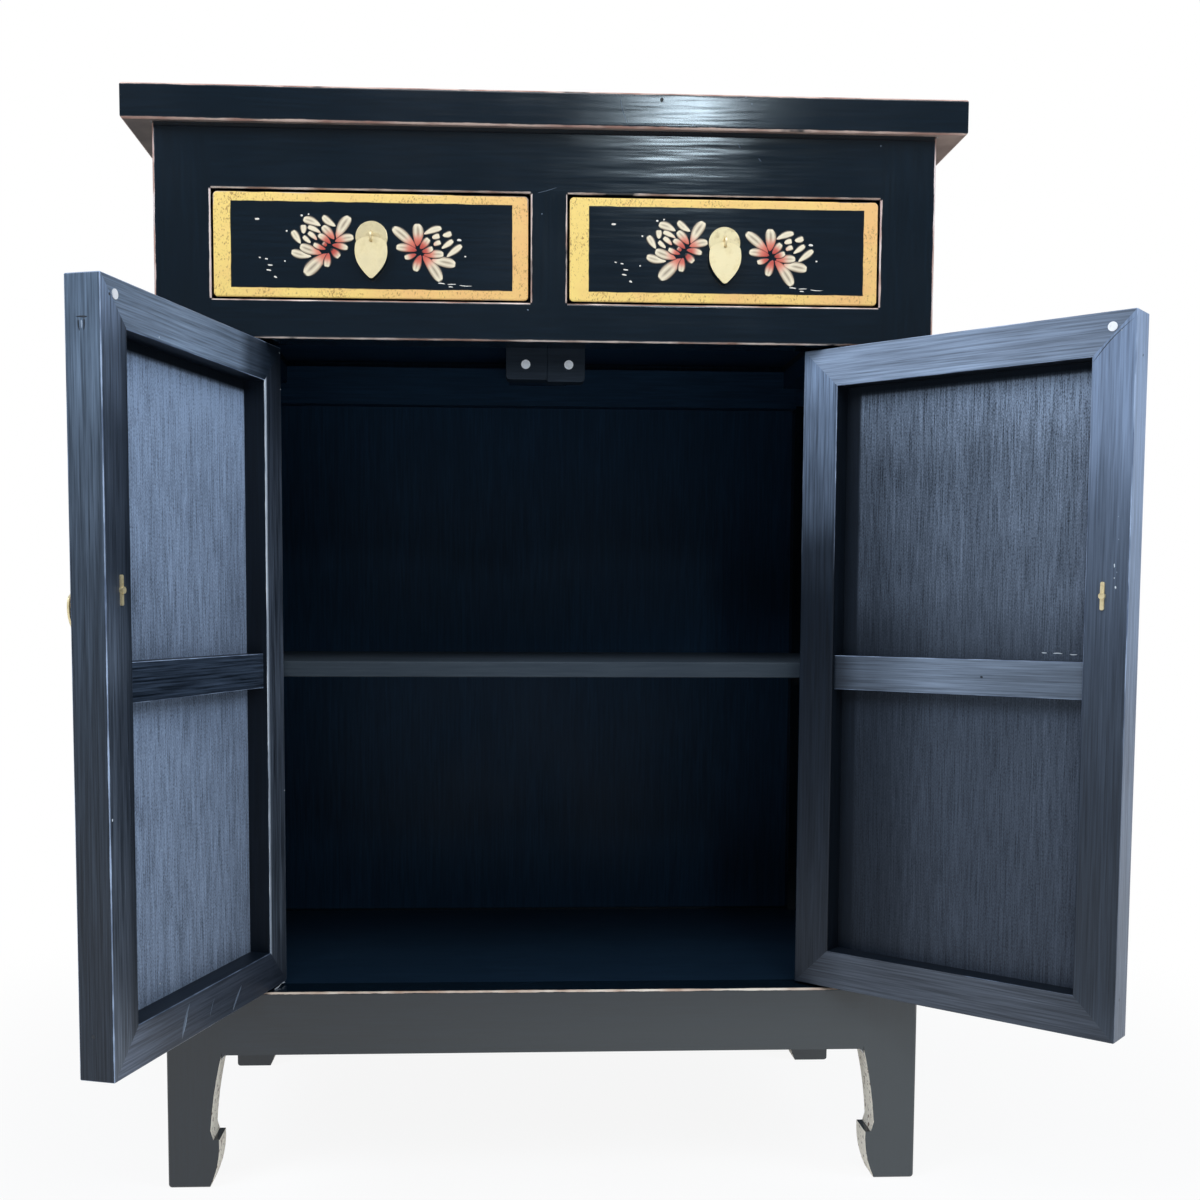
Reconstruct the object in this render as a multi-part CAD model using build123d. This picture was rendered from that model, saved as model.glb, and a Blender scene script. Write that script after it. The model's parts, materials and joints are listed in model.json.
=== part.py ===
from build123d import *
from math import cos, hypot, radians, sin
import os

# Chinese wedding cabinet: a small lacquered cabinet with two drawers above two pin-hinged doors.
# Millimetres. +Z is up and the front faces -Y. The carcass is drawn with x = 0 on its middle,
# y = 0 on the faces of the front posts and z = 0 on the floor. export_nodes then moves everything
# so that the origin is under the middle of the whole object, with its doors standing open.

# ---- overall
cabinet_height = 1050.0
body_width = 740.0
body_depth = 400.0

# ---- top: a mitred frame round a floating panel
top_thickness = 33.0
top_side_overhang = 26.0
top_front_overhang = 11.0
top_back_overhang = 9.0
top_member_width = 70.0
top_panel_thickness = 15.0
top_tongue_thickness = 6.0
top_arris = 3.0
batten_width = 34.0
batten_spacing = 300.0

# ---- posts and hoof feet
post_width = 53.5
post_depth = 33.0
post_arris = 3.0
foot_outer_radius = 3.5
leg_arris = 1.2
ankle_inset = 11.5
ankle_height = 56.0
hoof_ledge_height = 48.0
hoof_inset = 3.2
sole_inset = 13.0

# ---- rails
top_rail_height = 58.0
drawer_opening_height = 101.0
middle_rail_height = 36.5
back_middle_rail_height = 44.0
door_opening_bottom = 194.5
bottom_rail_height = 62.0
divider_width = 35.0
side_rail_thickness = 22.0
back_rail_thickness = 22.0
opening_arris = 2.5
bracket_radius = 5.0

# ---- joinery
tenon_thickness = 11.0
tenon_length = 30.0
tenon_shoulder = 6.0
side_tenon_length = 15.0
side_tenon_edge = 5.0
post_tenon_height = 10.0
post_tenon_width = 20.0
post_tenon_depth = 14.0
mitre_tenon_thickness = 8.0
mitre_tenon_margin = 12.0
mitre_tenon_gap = 2.0
groove_depth = 7.0
panel_play = 1.0

# ---- boards
side_panel_thickness = 10.0
side_panel_setback = 6.0
back_panel_thickness = 8.0
back_panel_setback = 9.0
floor_thickness = 12.0
floor_drop = 1.5
floor_tongue_depth = 5.0
floor_tongue_thickness = 5.0
shelf_thickness = 15.5
shelf_height = 515.5
shelf_door_clearance = 1.0
shelf_play = 1.0
shelf_arris = 1.2
cleat_width = 20.0
cleat_height = 24.0

# ---- drawer runners
runner_height = 20.0
runner_bearing = 14.0
guide_width = 12.0
guide_height = 12.0
guide_clearance = 0.8
runner_tongue = 6.0
runner_tongue_thickness = 10.0

# ---- doors
door_catch_gap = 2.0
door_side_gap = 2.0
door_meeting_gap = 2.0
door_top_gap = 2.5
door_bottom_gap = 2.5
door_member_width = 36.5
door_panel_thickness = 7.0
door_panel_setback = 2.5
door_batten_height = 33.0
door_batten_recess = 4.5
door_outer_radius = 3.0
door_edge_radius = 1.5
door_arris = 1.2
door_batten_arris = 1.0
left_door_angle = 106.35
right_door_angle = 137.5

# ---- door pivots: steel pins in the door, turning in sockets in the rails
pivot_radius = 4.0
pivot_clearance = 0.06
pivot_inset = 30.0
pivot_from_front = 12.0
pivot_mitre_clearance = 1.0
pivot_top_reach = 14.0
pivot_bottom_reach = 12.0
pivot_end_clearance = 0.3

# ---- magnetic catch
catch_left_width = 40.0
catch_right_width = 36.7
catch_left_drop = 30.0
catch_right_drop = 31.8
catch_seam_arris = 0.8
catch_runner_clearance = 2.5
catch_thickness = 20.0
catch_corner_radius = 4.0
magnet_radius = 4.4
magnet_spacing = 42.0
magnet_drop = 15.5
magnet_seat = 6.0
magnet_proud = 0.6
striker_radius = 4.0
striker_proud = 0.7
striker_shank_radius = 1.6
striker_shank_length = 12.0

# ---- drawers
drawer_side_gap = 2.0
drawer_top_gap = 2.5
drawer_bottom_gap = 1.5
drawer_front_thickness = 20.0
drawer_side_thickness = 12.0
drawer_back_thickness = 10.0
drawer_bottom_thickness = 6.0
drawer_bottom_height = 9.0
drawer_rim_drop = 3.0
drawer_back_clearance = 0.8
drawer_running_clearance = 0.3
drawer_front_radius = 1.5
drawer_corner_radius = 4.0
dovetail_count = 3
dovetail_length = 12.0
dovetail_flare = 3.0
dado_depth = 4.0

# ---- brass pulls: a round back plate, a split pin with an eye, and a flat drop
plate_radius = 15.0
plate_thickness = 1.4
plate_edge = 0.5
eye_wire_sides = 8
eye_radius = 4.4
eye_wire_radius = 1.1
shank_radius = 1.5
leg_length = 12.0
leg_width = 3.4
leg_thickness = 1.5
drop_thickness = 1.8
drop_hole_radius = 1.6
drop_top = 3.6
drop_half_width = 15.2
drop_length = 34.5
drop_shoulder_width = 14.2
drop_tip_width = 4.4
drawer_pull_rise = 8.0
door_pull_rise = 73.0
door_pull_from_edge = 21.5

# ---- levels and lines worked out from the sizes above
top_underside = cabinet_height - top_thickness
drawer_opening_top = top_underside - top_rail_height
half_body = body_width / 2
half_opening = half_body - post_width
half_divider = divider_width / 2
front_rail_depth = post_depth
ankle_width = post_width - ankle_inset
hoof_width = post_width - hoof_inset
sole_width = post_width - sole_inset
drawer_opening_bottom = drawer_opening_top - drawer_opening_height
door_opening_top = drawer_opening_bottom - middle_rail_height
apron_bottom = door_opening_bottom - bottom_rail_height
back_post_front = body_depth - post_depth
side_panel_outer = half_body - side_panel_setback
side_panel_inner = side_panel_outer - side_panel_thickness
side_rail_inner = half_body - side_rail_thickness
back_panel_outer = body_depth - back_panel_setback
back_panel_inner = back_panel_outer - back_panel_thickness
back_rail_inner = body_depth - back_rail_thickness
floor_top = door_opening_bottom - floor_drop
half_top = half_body + top_side_overhang
top_back = body_depth + top_back_overhang

door_thickness = front_rail_depth - door_catch_gap
door_top = door_opening_top - door_top_gap
door_bottom = door_opening_bottom + door_bottom_gap
door_middle_height = (door_top + door_bottom) / 2
door_pull_height = door_middle_height + door_pull_rise
door_hinge_edge = half_opening - door_side_gap
door_width = door_hinge_edge - door_meeting_gap / 2
pivot_x = door_hinge_edge - pivot_inset
pivot_seat = pivot_inset - pivot_radius - pivot_mitre_clearance
magnet_height = door_opening_top - magnet_drop
door_sweep = pivot_from_front + hypot(pivot_inset, door_thickness - pivot_from_front)
panel_front = door_panel_setback
panel_back = door_panel_setback + door_panel_thickness

drawer_outer = half_opening - drawer_side_gap
drawer_inner = half_divider + drawer_side_gap
drawer_middle = (drawer_outer + drawer_inner) / 2
drawer_floor = drawer_opening_bottom + drawer_running_clearance
drawer_front_bottom = drawer_opening_bottom + drawer_bottom_gap
drawer_front_top = drawer_opening_top - drawer_top_gap
drawer_pull_height = (drawer_front_bottom + drawer_front_top) / 2 + drawer_pull_rise
drawer_rim = drawer_front_top - drawer_rim_drop
drawer_back = back_panel_inner - drawer_back_clearance


def block(x, y, z):
    """A rectangular block between its limits along each axis."""
    low = [min(pair) for pair in (x, y, z)]
    high = [max(pair) for pair in (x, y, z)]
    size = [b - a for a, b in zip(low, high)]
    centre = [(a + b) / 2 for a, b in zip(low, high)]
    return Pos(*centre) * Box(*size)


def rod(radius, start, end):
    """An upright round rod from start to end, which differ only in height."""
    x, y, z0 = start
    z1 = end[2]
    return Pos(x, y, (z0 + z1) / 2) * Cylinder(radius, abs(z1 - z0))


def rod_along_y(radius, x, z, y0, y1):
    """A round rod that runs from the front to the back."""
    return Pos(x, (y0 + y1) / 2, z) * Rot(90, 0, 0) * Cylinder(radius, abs(y1 - y0))


def on_left(shape):
    """The left-hand twin of a piece drawn on the right."""
    return mirror(shape, about=Plane.YZ)


def pair(shape):
    """A piece and its left-hand twin, as two solids."""
    return Compound(children=[shape, on_left(shape)])


def arris_along_x(x, y, z, up, radius):
    """The waste of a rounded front arris that runs along x, on an edge at y, z."""
    sign = 1 if up else -1
    corner = block(x, (y, y + radius), (z, z + sign * radius))
    middle = sum(x) / 2
    return corner - Pos(middle, y + radius, z + sign * radius) * Rot(0, 90, 0) * Cylinder(radius, 2 * abs(x[1] - x[0]))


def arris_along_z(x, y, z, toward, radius):
    """The waste of a rounded front arris that runs up, on an edge at x, y. toward is the side of the wood."""
    corner = block((x, x + toward * radius), (y, y + radius), z)
    middle = sum(z) / 2
    return corner - Pos(x + toward * radius, y + radius, middle) * Cylinder(radius, 2 * abs(z[1] - z[0]))


# ---- posts

def post_outline():
    """The right-hand post seen from the front, with its hoof foot, in x and z."""
    outer = half_body
    inner = half_opening
    ankle = (outer - ankle_width, ankle_height)
    ankle_waist = (outer - (post_width * 0.3 + ankle_width * 0.7), (apron_bottom + ankle_height) * 0.48)
    ledge = (outer - ankle_width - (ankle_height - hoof_ledge_height) * 0.3, hoof_ledge_height)
    toe = (outer - hoof_width, hoof_ledge_height)
    hoof_side = (outer - (hoof_width * 0.78 + sole_width * 0.22), hoof_ledge_height * 0.46)
    sole = (outer - sole_width, 0)
    edges = [
        Line((outer, foot_outer_radius), (outer, top_underside)),
        Line((outer, top_underside), (inner, top_underside)),
        Line((inner, top_underside), (inner, apron_bottom)),
        ThreePointArc((inner, apron_bottom), ankle_waist, ankle),
        Line(ankle, ledge),
        Line(ledge, toe),
        ThreePointArc(toe, hoof_side, sole),
        Line(sole, (outer - foot_outer_radius, 0)),
        RadiusArc((outer - foot_outer_radius, 0), (outer, foot_outer_radius), -foot_outer_radius),
    ]
    return make_face(Wire(edges))


def post_blank():
    """A right-hand post with its foot, from y = 0 back."""
    outline = Plane.XZ * post_outline()
    body = extrude(outline, amount=post_depth, dir=(0, 1, 0))
    return body


def rail_tenon(z, grow=0.0):
    """The tenon of a cross rail in the right-hand post, at the middle of the rail's depth."""
    centre = front_rail_depth / 2
    low, high = z[0] + tenon_shoulder, z[1] - tenon_shoulder
    half = tenon_thickness / 2
    return block((half_opening - grow, half_opening + tenon_length), (centre - half, centre + half), (low, high))


def back_rail_tenon(z, rail_y):
    """The tenon of a back rail in the right-hand back post."""
    centre = sum(rail_y) / 2
    low, high = z[0] + tenon_shoulder, z[1] - tenon_shoulder
    half = tenon_thickness / 2 - 1
    return block((half_opening, half_opening + tenon_length), (centre - half, centre + half), (low, high))


def side_rail_tenons(z):
    """Both end tenons of the right-hand side rail, with the length of rail between them."""
    x = (half_body - side_tenon_edge - tenon_thickness, half_body - side_tenon_edge)
    y = (post_depth - side_tenon_length, back_post_front + side_tenon_length)
    return block(x, y, (z[0] + tenon_shoulder, z[1] - tenon_shoulder))


def post_top_tenon(y):
    """The tenon on a right-hand post that enters the frame of the top. y is the post's middle."""
    x = half_body - post_width / 2
    return block((x - post_tenon_width / 2, x + post_tenon_width / 2),
                 (y - post_tenon_depth / 2, y + post_tenon_depth / 2),
                 (top_underside, top_underside + post_tenon_height))


top_rail_z = (drawer_opening_top, top_underside)
middle_rail_z = (door_opening_top, drawer_opening_bottom)
bottom_rail_z = (apron_bottom, door_opening_bottom)
back_middle_rail_z = (drawer_opening_bottom - back_middle_rail_height, drawer_opening_bottom)
back_rail_y = (back_rail_inner, body_depth)
back_middle_rail_y = (back_panel_inner - back_rail_thickness, back_panel_inner)
back_middle_tenon = block((0, half_opening + tenon_length),
                          (back_middle_rail_y[0] + 4, back_middle_rail_y[1] - 6),
                          (back_middle_rail_z[0] + 4, back_middle_rail_z[1] - 4))


def side_panel_blank(grow):
    """The right-hand side panel, with grow on its four edges for the grooves that hold it."""
    return block((side_panel_inner, side_panel_outer),
                 (post_depth - groove_depth + grow, back_post_front + groove_depth - grow),
                 (door_opening_bottom - groove_depth + grow, drawer_opening_top + groove_depth - grow))


def back_panel_blank(grow):
    """The back panel, with its edges in the grooves of the back posts and rails."""
    half = half_opening + groove_depth - grow
    return block((-half, half), (back_panel_inner, back_panel_outer),
                 (door_opening_bottom - groove_depth + grow, drawer_opening_top + groove_depth - grow))


def leg_arris_edges(body):
    """The front edges of the ankle's and the hoof's curves on a front post."""
    curves = body.edges().filter_by(GeomType.CIRCLE).filter_by_position(Axis.Y, -0.01, 0.01)
    return curves.filter_by_position(Axis.X, 0, half_body - foot_outer_radius - leg_arris)


def front_post():
    body = post_blank()
    outer_edge = body.edges().filter_by(Axis.Z).sort_by(Axis.X)[-2:]
    body = fillet(outer_edge.sort_by(Axis.Y)[:1], post_arris)
    body = fillet(leg_arris_edges(body), leg_arris)
    for z in (top_rail_z, middle_rail_z, bottom_rail_z):
        body -= rail_tenon(z)
    for z in (top_rail_z, bottom_rail_z):
        body -= side_rail_tenons(z)
    body -= side_panel_blank(0)
    for z in ((drawer_opening_bottom, drawer_opening_top), (door_opening_bottom, door_opening_top)):
        body -= arris_along_z(half_opening, 0, z, 1, opening_arris)
    return body + post_top_tenon(post_depth / 2)


def back_post():
    body = Pos(0, back_post_front, 0) * post_blank()
    outer_edge = body.edges().filter_by(Axis.Z).sort_by(Axis.X)[-2:]
    body = fillet(outer_edge.sort_by(Axis.Y)[-1:], post_arris)
    for z in (top_rail_z, bottom_rail_z):
        body -= back_rail_tenon(z, back_rail_y)
        body -= side_rail_tenons(z)
    body -= back_middle_tenon
    body -= side_panel_blank(0)
    body -= back_panel_blank(0)
    return body + post_top_tenon(body_depth - post_depth / 2)


# ---- front rails

def front_rail(z):
    """A rail between the front posts, with a tenon at each end."""
    body = block((-half_opening, half_opening), (0, front_rail_depth), z)
    tenon = rail_tenon(z)
    return body + tenon + on_left(tenon)


def drawer_opening_x():
    """The limits of the right-hand drawer opening."""
    return (half_divider, half_opening)


def divider_tenon():
    """The divider's length with its tenons in the top rail and the middle rail."""
    centre = front_rail_depth / 2
    return block((-half_divider + tenon_shoulder, half_divider - tenon_shoulder),
                 (centre - tenon_thickness / 2, centre + tenon_thickness / 2),
                 (drawer_opening_bottom - tenon_shoulder, drawer_opening_top + 3 * tenon_shoulder))


def front_top_rail():
    waste = arris_along_x(drawer_opening_x(), 0, drawer_opening_top, True, opening_arris)
    return front_rail(top_rail_z) - waste - on_left(waste) - divider_tenon()


def socket(z_mouth, depth, up):
    """A pivot socket in a rail, at the right-hand door's pivot."""
    z_end = z_mouth + depth if up else z_mouth - depth
    return rod(pivot_radius + pivot_clearance, (pivot_x, pivot_from_front, z_mouth), (0, 0, z_end))


def front_middle_rail():
    body = front_rail(middle_rail_z)
    waste = arris_along_x(drawer_opening_x(), 0, drawer_opening_bottom, False, opening_arris)
    body -= waste + on_left(waste)
    body -= arris_along_x((-half_opening, half_opening), 0, door_opening_top, True, opening_arris)
    hole = socket(door_opening_top, pivot_top_reach + pivot_end_clearance, True)
    tongue = runner_tongues(False)
    return body - hole - on_left(hole) - divider_tenon() - tongue - on_left(tongue)


def front_bottom_rail():
    body = front_rail(bottom_rail_z)
    body -= arris_along_x((-half_opening, half_opening), 0, door_opening_bottom, False, opening_arris)
    hole = socket(door_opening_bottom, pivot_bottom_reach + pivot_end_clearance, False)
    body -= hole + on_left(hole)
    bracket = block((half_opening - bracket_radius, half_opening), (0, front_rail_depth),
                    (apron_bottom - bracket_radius, apron_bottom))
    hollow = Pos(half_opening - bracket_radius, front_rail_depth / 2, apron_bottom - bracket_radius) \
        * Rot(90, 0, 0) * Cylinder(bracket_radius, 2 * front_rail_depth)
    bracket -= hollow
    return body + bracket + on_left(bracket) - floor_board()


def drawer_divider():
    body = block((-half_divider, half_divider), (0, front_rail_depth),
                 (drawer_opening_bottom, drawer_opening_top))
    z = (drawer_opening_bottom, drawer_opening_top)
    waste = arris_along_z(half_divider, 0, z, -1, opening_arris)
    return body + divider_tenon() - waste - on_left(waste)


# ---- sides and back

def side_rail(z):
    """A right-hand side rail, flush with the outside of the posts."""
    body = block((side_rail_inner, half_body), (post_depth, back_post_front), z)
    return body + side_rail_tenons(z) - side_panel_blank(0)


def side_bottom_rail():
    return side_rail(bottom_rail_z) - floor_board()


def back_rail(z):
    """A rail between the back posts."""
    body = block((-half_opening, half_opening), back_rail_y, z)
    tenon = back_rail_tenon(z, back_rail_y)
    return body + tenon + on_left(tenon) - back_panel_blank(0)


def back_middle_rail():
    """The rail inside the back that carries the drawer runners."""
    body = block((-half_opening, half_opening), back_middle_rail_y, back_middle_rail_z)
    body += back_middle_tenon + on_left(back_middle_tenon)
    tongue = runner_tongues(True)
    return body - tongue - on_left(tongue)


def floor_board():
    """The floor, which fills the space between the rails, with a tongue along each rail at its lower edge."""
    z = (floor_top - floor_thickness, floor_top)
    tongue_z = (z[0], z[0] + floor_tongue_thickness)
    reach = floor_tongue_depth
    body = block((-side_rail_inner, side_rail_inner), (post_depth, back_post_front), z)
    body += block((-half_opening, half_opening), (front_rail_depth, back_rail_inner), z)
    body += block((-side_rail_inner - reach, side_rail_inner + reach), (post_depth, back_post_front), tongue_z)
    return body + block((-half_opening, half_opening),
                        (front_rail_depth - reach, back_rail_inner + reach), tongue_z)


def shelf():
    """The shelf, which starts just behind the sweep of the doors' inner corners."""
    z = (shelf_height - shelf_thickness, shelf_height)
    wide = side_panel_inner - shelf_play
    front = door_sweep + shelf_door_clearance
    body = block((-wide, wide), (front, back_post_front - shelf_play), z)
    body = fillet(body.edges().filter_by(Axis.X).sort_by(Axis.Y)[:2], shelf_arris)
    return body + block((-half_opening + shelf_play, half_opening - shelf_play),
                        (back_post_front - 2 * shelf_play, back_panel_inner - shelf_play), z)


def shelf_cleat():
    """The right-hand strip that the shelf lies on, between the posts and against the side panel."""
    top = shelf_height - shelf_thickness
    return block((side_panel_inner - cleat_width, side_panel_inner),
                 (post_depth, back_post_front), (top - cleat_height, top))


# ---- drawer runners

runner_y = (front_rail_depth, back_middle_rail_y[0])
runner_z = (drawer_opening_bottom - runner_height, drawer_opening_bottom)
side_guide_x = drawer_outer + guide_clearance
centre_guide_x = drawer_inner - guide_clearance
runner_tongue_z = (runner_z[0] + (runner_height - runner_tongue_thickness) / 2,
                   runner_z[1] - (runner_height - runner_tongue_thickness) / 2)


def runner_tongues(at_back):
    """The stub tongues of the side runner and half the centre runner, at the front or the back."""
    y = (runner_y[1], runner_y[1] + runner_tongue) if at_back else (runner_y[0] - runner_tongue, runner_y[0])
    side = block((drawer_outer - runner_bearing, drawer_outer), y, runner_tongue_z)
    centre = block((0, centre_guide_x), y, runner_tongue_z)
    return side + centre


def side_runner():
    """The right-hand runner: a bearer under the drawer side, with a guide beside it."""
    bearer = block((drawer_outer - runner_bearing, side_guide_x + guide_width), runner_y, runner_z)
    guide = block((side_guide_x, side_guide_x + guide_width), runner_y,
                  (runner_z[1], runner_z[1] + guide_height))
    body = bearer + guide
    for at_back in (False, True):
        body += runner_tongues(at_back) & block((half_opening / 2, half_body), (0, body_depth), runner_z)
    return body


def centre_runner():
    """The runner between the drawers, which carries an edge of each and guides both."""
    half = drawer_inner + runner_bearing
    body = block((-half, half), runner_y, runner_z)
    body += block((-centre_guide_x, centre_guide_x), runner_y, (runner_z[1], runner_z[1] + guide_height))
    for at_back in (False, True):
        tongue = runner_tongues(at_back) & block((0, half_opening / 2), (0, body_depth), runner_z)
        body += tongue + on_left(tongue)
    return body


# ---- top

top_z = (top_underside, cabinet_height)
top_inner_x = half_top - top_member_width
top_inner_front = top_member_width - top_front_overhang
top_inner_back = top_back - top_member_width


def top_tongue(play):
    """The tongue round the top panel, let into the frame. play leaves it short of the groove's end."""
    middle = cabinet_height - top_panel_thickness + top_tongue_thickness / 2
    reach = groove_depth - play
    return block((-top_inner_x - reach, top_inner_x + reach),
                 (top_inner_front - reach, top_inner_back + reach),
                 (middle - top_tongue_thickness / 2, middle + top_tongue_thickness / 2))


def mitre_tenon(front):
    """The hidden tenon at a right-hand mitre, on the end member and let into the front or back one."""
    x = (top_inner_x + mitre_tenon_margin, half_top - mitre_tenon_margin)
    if front:
        y = (-top_front_overhang + mitre_tenon_margin, top_inner_front)
    else:
        y = (top_inner_back, top_back - mitre_tenon_margin)
    z = top_underside + post_tenon_height + mitre_tenon_gap
    return block(x, y, (z, z + mitre_tenon_thickness))


def top_long_member(front):
    """The front or back member of the top's frame, mitred at both ends."""
    if front:
        outer, inner, post_y = -top_front_overhang, top_inner_front, post_depth / 2
    else:
        outer, inner, post_y = top_back, top_inner_back, body_depth - post_depth / 2
    outline = make_face(Polyline((-half_top, outer), (half_top, outer), (top_inner_x, inner),
                                 (-top_inner_x, inner), close=True))
    body = Pos(0, 0, top_underside) * extrude(outline, amount=top_thickness, dir=(0, 0, 1))
    edges = body.edges().filter_by(Axis.X).sort_by(Axis.Y)
    body = fillet(edges[:2] if front else edges[-2:], top_arris)
    tenon = mitre_tenon(front) + post_top_tenon(post_y)
    return body - tenon - on_left(tenon) - top_tongue(0) - batten_tenons()


def top_end_member():
    """The right-hand end member of the top's frame."""
    outline = make_face(Polyline((half_top, -top_front_overhang), (half_top, top_back),
                                 (top_inner_x, top_inner_back), (top_inner_x, top_inner_front), close=True))
    body = Pos(0, 0, top_underside) * extrude(outline, amount=top_thickness, dir=(0, 0, 1))
    body = fillet(body.edges().filter_by(Axis.Y).sort_by(Axis.X)[-2:], top_arris)
    return body + mitre_tenon(True) + mitre_tenon(False) - top_tongue(0)


def top_panel():
    body = block((-top_inner_x, top_inner_x), (top_inner_front, top_inner_back),
                 (cabinet_height - top_panel_thickness, cabinet_height))
    return body + top_tongue(panel_play)


def batten_blank():
    """The right-hand batten under the top panel, with its end tenons."""
    x = (batten_spacing / 2 - batten_width / 2, batten_spacing / 2 + batten_width / 2)
    z = (top_underside, cabinet_height - top_panel_thickness)
    body = block(x, (top_inner_front, top_inner_back), z)
    middle = sum(z) / 2
    return body + block((x[0] + tenon_shoulder, x[1] - tenon_shoulder),
                        (top_inner_front - side_tenon_length, top_inner_back + side_tenon_length),
                        (middle - tenon_thickness / 2, middle + tenon_thickness / 2 - 2))


def batten_tenons():
    batten = batten_blank()
    return batten + on_left(batten)


# ---- catch

def catch_half(width, drop):
    """One half of the catch, drawn on the right: a wooden block behind the middle rail for one door."""
    body = block((0, width), (front_rail_depth, front_rail_depth + catch_thickness),
                 (door_opening_top - drop, runner_z[0] - catch_runner_clearance))
    corner = body.edges().filter_by(Axis.Y).sort_by(Axis.Z)[:2].sort_by(Axis.X)[-1:]
    body = fillet(corner, catch_corner_radius)
    seam = body.edges().filter_by(Axis.Z).sort_by(Axis.X)[:2].sort_by(Axis.Y)[:1]
    return fillet(seam, catch_seam_arris) - catch_magnet()


def catch_block():
    """The two halves of the catch, which meet on the middle line."""
    return Compound(children=[catch_half(catch_right_width, catch_right_drop),
                              on_left(catch_half(catch_left_width, catch_left_drop))])


def catch_magnet():
    """The right-hand magnet, let into the block and standing a little proud of it."""
    return rod_along_y(magnet_radius, magnet_spacing / 2, magnet_height,
                       front_rail_depth - magnet_proud, front_rail_depth + magnet_seat)


# ---- doors, drawn closed on the right: the hinge edge is outermost and y = 0 is the door's front

door_free_edge = door_meeting_gap / 2
door_inner_hinge = door_hinge_edge - door_member_width
door_inner_free = door_free_edge + door_member_width
door_inner_top = door_top - door_member_width
door_inner_bottom = door_bottom + door_member_width


def door_blank():
    """The right-hand door's outside, with every outer arris rounded, which its four members fill."""
    body = block((door_free_edge, door_hinge_edge), (0, door_thickness), (door_bottom, door_top))
    body = fillet(body.edges().filter_by(Axis.Z).sort_by(Axis.X)[:2], door_edge_radius)
    hinge_front = body.edges().filter_by(Axis.Z).sort_by(Axis.X)[-2:].sort_by(Axis.Y)[:1]
    body = fillet(hinge_front, door_outer_radius)
    hinge_back = body.edges().filter_by(Axis.Z).sort_by(Axis.X)[-2:].sort_by(Axis.Y)[-1:]
    body = fillet(hinge_back, door_edge_radius)
    body = fillet(body.faces().sort_by(Axis.Z)[-1].edges(), door_arris)
    return fillet(body.faces().sort_by(Axis.Z)[0].edges(), door_arris)


def door_groove(play):
    """The door panel, with its edges in the grooves of the frame."""
    reach = groove_depth - play
    return block((door_inner_free - reach, door_inner_hinge + reach), (panel_front, panel_back),
                 (door_inner_bottom - reach, door_inner_top + reach))


def door_batten():
    """The cross batten behind the panel, set back a little from the frame's inner face."""
    z = (door_middle_height - door_batten_height / 2, door_middle_height + door_batten_height / 2)
    body = block((door_inner_free, door_inner_hinge), (panel_back, door_thickness - door_batten_recess), z)
    body = fillet(body.edges().filter_by(Axis.X).sort_by(Axis.Y)[-2:], door_batten_arris)
    middle = (panel_back + door_thickness - door_batten_recess) / 2
    return body + block((door_inner_free - side_tenon_length, door_inner_hinge + side_tenon_length),
                        (middle - tenon_thickness / 2 + 2, middle + tenon_thickness / 2 - 2),
                        (z[0] + tenon_shoulder, z[1] - tenon_shoulder))


def door_mitre_tenon(at_hinge, at_top):
    """A rail's hidden tenon at one mitre, let into the stile."""
    if at_hinge:
        x = (door_inner_hinge, door_hinge_edge - mitre_tenon_margin)
    else:
        x = (door_free_edge + mitre_tenon_margin, door_inner_free)
    if at_top:
        z = (door_inner_top + tenon_shoulder, door_top - mitre_tenon_margin)
    else:
        z = (door_bottom + mitre_tenon_margin, door_inner_bottom - tenon_shoulder)
    y = panel_back + tenon_shoulder
    return block(x, (y, y + mitre_tenon_thickness), z)


def door_stile(at_hinge):
    """A stile of the right-hand door, mitred at both ends."""
    outer, inner = (door_hinge_edge, door_inner_hinge) if at_hinge else (door_free_edge, door_inner_free)
    outline = make_face(Polyline((outer, door_bottom), (outer, door_top), (inner, door_inner_top),
                                 (inner, door_inner_bottom), close=True))
    body = extrude(Plane.XZ * outline, amount=door_thickness, dir=(0, 1, 0))
    upright = body.edges().filter_by(Axis.Z).sort_by(Axis.X)
    body = fillet(upright[:2] if at_hinge else upright[-2:], door_arris) & door_blank()
    for at_top in (False, True):
        body -= door_mitre_tenon(at_hinge, at_top)
    return body - door_groove(0) - door_batten()


def door_rail(at_top):
    """A rail of the right-hand door, mitred at both ends, with the pivot pin's hole."""
    outer, inner = (door_top, door_inner_top) if at_top else (door_bottom, door_inner_bottom)
    outline = make_face(Polyline((door_free_edge, outer), (door_hinge_edge, outer), (door_inner_hinge, inner),
                                 (door_inner_free, inner), close=True))
    body = extrude(Plane.XZ * outline, amount=door_thickness, dir=(0, 1, 0))
    level = body.edges().filter_by(Axis.X).sort_by(Axis.Z)
    body = fillet(level[:2] if at_top else level[-2:], door_arris) & door_blank()
    for at_hinge in (False, True):
        body += door_mitre_tenon(at_hinge, at_top)
    body -= door_groove(0)
    body -= pivot_pin(at_top)
    return body - striker() if at_top else body


def pivot_pin(at_top):
    """A steel pivot pin, driven into the door and standing out into its socket."""
    if at_top:
        z = (door_top - pivot_seat, door_opening_top + pivot_top_reach)
    else:
        z = (door_opening_bottom - pivot_bottom_reach, door_bottom + pivot_seat)
    return rod(pivot_radius, (pivot_x, pivot_from_front, z[0]), (0, 0, z[1]))


def striker():
    """The steel stud on the door's inner face that meets a magnet of the catch."""
    x = magnet_spacing / 2
    head = rod_along_y(striker_radius, x, magnet_height, door_thickness - 1, door_thickness + striker_proud)
    shank = rod_along_y(striker_shank_radius, x, magnet_height,
                        door_thickness - striker_shank_length, door_thickness - 1)
    return head + shank


# ---- pulls, drawn on a face at y = 0 with their middle at x = 0, z = 0

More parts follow.
